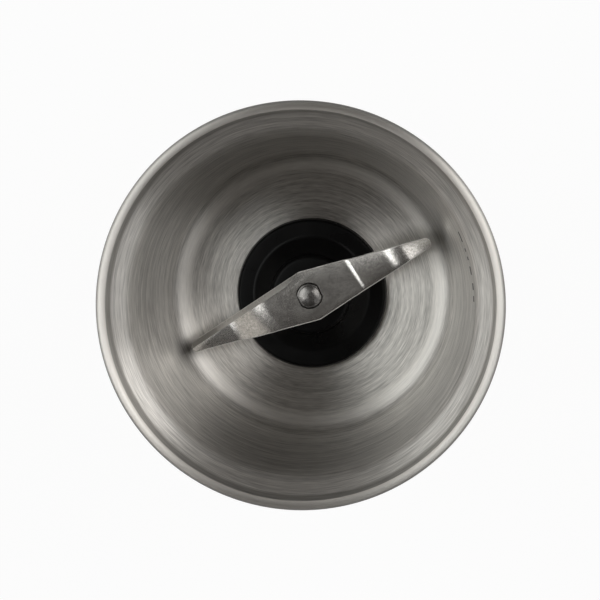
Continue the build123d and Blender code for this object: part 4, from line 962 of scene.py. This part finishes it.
collar_shape = spin(
    [
        (well_at(COLLAR_Z), COLLAR_Z),
        (well_at(BAND_Z), BAND_Z),
        (WELL, FLOOR_Z),
        (WELL, SEAT_Z),
        (SEAT_HOLE, SEAT_Z),
        (SEAT_HOLE, DECK_Z),
        (WELL + WELL_WALL, DECK_Z),
        (WELL + WELL_WALL, FLOOR_Z),
        (well_at(BAND_Z) + WELL_WALL, BAND_Z),
        (well_at(COLLAR_Z) + WELL_WALL, HOLLOW_Z),
        (SPIGOT_INSIDE, HOLLOW_Z),
        (SPIGOT_INSIDE, SLEEVE_TOP_Z - SPIGOT_DEPTH),
        (SPIGOT_OUTSIDE, SLEEVE_TOP_Z - SPIGOT_DEPTH),
        (SPIGOT_OUTSIDE, SLEEVE_TOP_Z),
        (COLLAR, SLEEVE_TOP_Z),
        (COLLAR, COLLAR_Z),
    ],
    closed=True,
)
for r, z, radius in (
    (COLLAR, COLLAR_Z, 3.0),
    (well_at(COLLAR_Z), COLLAR_Z, 1.0),
    (COLLAR, SLEEVE_TOP_Z, 0.4),
    (WELL, SEAT_Z, 0.6),
):
    round_ring(collar_shape, r, z, radius)
close_outwards(collar_shape)
piece("ring", collar_shape, [BODY_PLASTIC], "base", "black_plastic", "top_collar")

# %% The keys in the well
KEY = (3.0, 6.0, 12.0)  # out from the axis, across and high
KEY_MIDDLE = WELL - 0.7
KEY_COUNT = 4
keys = bmesh.new()
bmesh.ops.create_cube(keys, size=1.0)
bmesh.ops.scale(keys, verts=keys.verts, vec=Vector(KEY) * MM)
bevel(keys, keys.edges[:], 0.5, 3)
bmesh.ops.translate(keys, verts=keys.verts, vec=Vector((KEY_MIDDLE, 0, SEAT_Z + KEY[2] / 2)) * MM)
rotate(keys, keys.verts, pi / KEY_COUNT)
sweep(keys, whole(keys), tau * (KEY_COUNT - 1) / KEY_COUNT, KEY_COUNT - 1, duplicate=True)
piece("well_keys", keys, [BODY_PLASTIC], "base", "black_plastic")

# %% [markdown]
# ## The button
#
# A round push button in a polished frame. Both are spun round the Z axis and then turned to the front.
# The cap is dished a little, so that a finger finds it, and hollow behind, where its return spring sits.
# The spring could be a curve with a bevel. Here a small circle is spun with a step forward on each turn.

# %% The button
BUTTON_END, BUTTON_FACE = sorted(-corner[1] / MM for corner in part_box("push_button"))
SPRING_END, SPRING_FACE = sorted(-corner[1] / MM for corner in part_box("button_spring"))
CAP_RADIUS, CAP_DEPTH = 8.0, 4.2
HOLLOW_RADIUS = 6.6
HOLLOW_TOP = SPRING_FACE + 0.01
STEM_RADIUS = 2.0
cap_face = (  # radius, drop below the face and fillet
    (4.5, 0.45, 12.0),
    (6.9, 0.0, 1.2),
    (CAP_RADIUS, 0.1, 0.7),
)
cap_shape = spin(
    [
        (0, BUTTON_FACE - 0.7),
        *((r, BUTTON_FACE - drop) for r, drop, _ in cap_face),
        (CAP_RADIUS, BUTTON_FACE - CAP_DEPTH),
        (HOLLOW_RADIUS, BUTTON_FACE - CAP_DEPTH),
        (HOLLOW_RADIUS, HOLLOW_TOP),
        (0, HOLLOW_TOP),
    ],
    steps=128,
)
for r, drop, radius in cap_face:
    round_ring(cap_shape, r, BUTTON_FACE - drop, radius)
face_front(cap_shape, BUTTON_Z)
close_outwards(cap_shape)
piece("button_cap", cap_shape, [GLOSS_PLASTIC], "button", "black_gloss", "push_button")

stem_foot = SPRING_FACE + 0.2
stem_shape = rod(STEM_RADIUS, stem_foot, BUTTON_END, steps=48)
face_front(stem_shape, BUTTON_Z)
close_outwards(stem_shape)
piece("button_stem", stem_shape, [BODY_PLASTIC], "button", "black_plastic")

# %% The button's spring
WIRE_RADIUS = 0.35
TURNS, STEPS = 4, 36
coil_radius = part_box("button_spring")[1][0] / MM - WIRE_RADIUS
rise = (SPRING_FACE - SPRING_END - 2 * WIRE_RADIUS) / (TURNS * STEPS)
coil = bmesh.new()
bmesh.ops.create_circle(coil, segments=12, radius=WIRE_RADIUS * MM)
rotate(coil, coil.verts, pi / 2, "X")
bmesh.ops.translate(coil, verts=coil.verts, vec=(coil_radius * MM, 0, (SPRING_END + WIRE_RADIUS) * MM))
sweep(coil, whole(coil), tau * TURNS, TURNS * STEPS, rise=rise)
bmesh.ops.holes_fill(coil, edges=[e for e in coil.edges if e.is_boundary])
bmesh.ops.recalc_face_normals(coil, faces=coil.faces)
face_front(coil, BUTTON_Z)
close_outwards(coil)
button_coil = piece("button_coil", coil, [ZINC], "base", "zinc_steel", "button_spring", sharp=60)
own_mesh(button_coil)

# %% The button's frame
BEZEL_FACE = -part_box("button_bezel")[0][1] / MM  # distance in front of the axis
BORE_RADIUS = 8.15
STEM_BORE = 2.2
FLANGE_RADIUS, FLANGE_DEPTH = 11.5, 4.0
BEZEL_DEPTH, BEZEL_FLOOR = 8.0, 1.4
frame_face = (  # radius, drop below the face and fillet
    (BORE_RADIUS, 0.5, 0.2),
    (8.7, 0.0, 0.4),
    (FLANGE_RADIUS, 0.35, 0.9),
)
frame_shape = spin(
    [
        *((r, BEZEL_FACE - drop) for r, drop, _ in frame_face),
        (FLANGE_RADIUS, BEZEL_FACE - FLANGE_DEPTH),
        (BEZEL_RADIUS, BEZEL_FACE - FLANGE_DEPTH),
        (BEZEL_RADIUS, BEZEL_FACE - BEZEL_DEPTH),
        (STEM_BORE, BEZEL_FACE - BEZEL_DEPTH),
        (STEM_BORE, BEZEL_FACE - BEZEL_DEPTH + BEZEL_FLOOR),
        (BORE_RADIUS, BEZEL_FACE - BEZEL_DEPTH + BEZEL_FLOOR),
    ],
    closed=True,
    steps=128,
)
for r, drop, radius in frame_face:
    round_ring(frame_shape, r, BEZEL_FACE - drop, radius)
face_front(frame_shape, BUTTON_Z)
close_outwards(frame_shape)
piece("button_frame", frame_shape, [GLOSS_PLASTIC], "base", "black_gloss", "button_bezel")

# %% [markdown]
# ## Feet and cord bush
#
# Four rubber feet are pressed into the cover, and a rubber bush lines the cord's inlet at the back. The foot
# is spun once and copied to its four places.

# %% Feet and cord bush
FOOT_RADIUS, FOOT_HEIGHT, FOOT_INSET = 5.5, 4.0, 10.0
foot_shape = rod(FOOT_RADIUS, 0, FOOT_HEIGHT, steps=64)
round_ring(foot_shape, FOOT_RADIUS, 0, 0.8, 4)
close_outwards(foot_shape)
reach = (SLEEVE_FOOT - FOOT_INSET) * sqrt(0.5)
copy_to(foot_shape, [(x * reach, y * reach) for x in (-1, 1) for y in (-1, 1)])
piece("feet", foot_shape, [RUBBER], "base", "rubber", "rubber_feet")

GLAND_Z = 11.5
GLAND_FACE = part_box("cord_gland")[1][1] / MM
GLAND_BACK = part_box("cord_gland")[0][1] / MM
GLAND_BORE, GLAND_NECK, GLAND_EDGE = 3.0, 4.2, 5.2  # radii
OUTER_FLANGE, INNER_FLANGE = 1.3, 1.5
gland_shape = spin(
    [
        (GLAND_BORE, GLAND_FACE),
        (GLAND_EDGE, GLAND_FACE),
        (GLAND_EDGE, GLAND_FACE - OUTER_FLANGE),
        (GLAND_NECK, GLAND_FACE - OUTER_FLANGE),
        (GLAND_NECK, GLAND_BACK + INNER_FLANGE),
        (GLAND_EDGE, GLAND_BACK + INNER_FLANGE),
        (GLAND_EDGE, GLAND_BACK),
        (GLAND_BORE, GLAND_BACK),
    ],
    closed=True,
    steps=64,
)
round_ring(gland_shape, GLAND_BORE, GLAND_FACE, 0.5, 4)
round_ring(gland_shape, GLAND_EDGE, GLAND_FACE, 0.4, 4)
face_front(gland_shape, GLAND_Z, front=1)
close_outwards(gland_shape)
piece("cord_bush", gland_shape, [RUBBER], "base", "rubber", "cord_gland")

# %% [markdown]
# ## Finishes for the pieces that stay as they are
#
# The rest of the machine keeps its CAD shape: the motor, the couplings, the switch and the fasteners. Each
# takes the finish of its material slot, so that it looks right when the cup is lifted or the base is open.

# %% Finishes by slot
finishes = {
    "brushed_steel": SLEEVE_STEEL,
    "blade_steel": MILL_STEEL,
    "shaft_steel": SHAFT_STEEL,
    "black_plastic": BODY_PLASTIC,
    "black_gloss": GLOSS_PLASTIC,
    "white_plastic": NYLON,
    "red_plastic": RED_PLASTIC,
    "rubber": RUBBER,
    "seal_rubber": RUBBER,
    "zinc_steel": ZINC,
    "lamination": LAMINATION,
    "copper_winding": WINDING,
    "commutator_copper": COPPER,
    "carbon": CARBON,
    "bronze": BRONZE,
    "brass": BRASS,
    "die_cast": DIE_CAST,
    "lead_insulation": RUBBER,
}
for row in frame["record"]["subparts"]:
    mesh = frame["nodes"][row["node"]].data
    mesh.materials.clear()
    mesh.materials.append(finishes[row["material_slot"]])
print(len(frame["nodes"]), "CAD nodes have their finish")
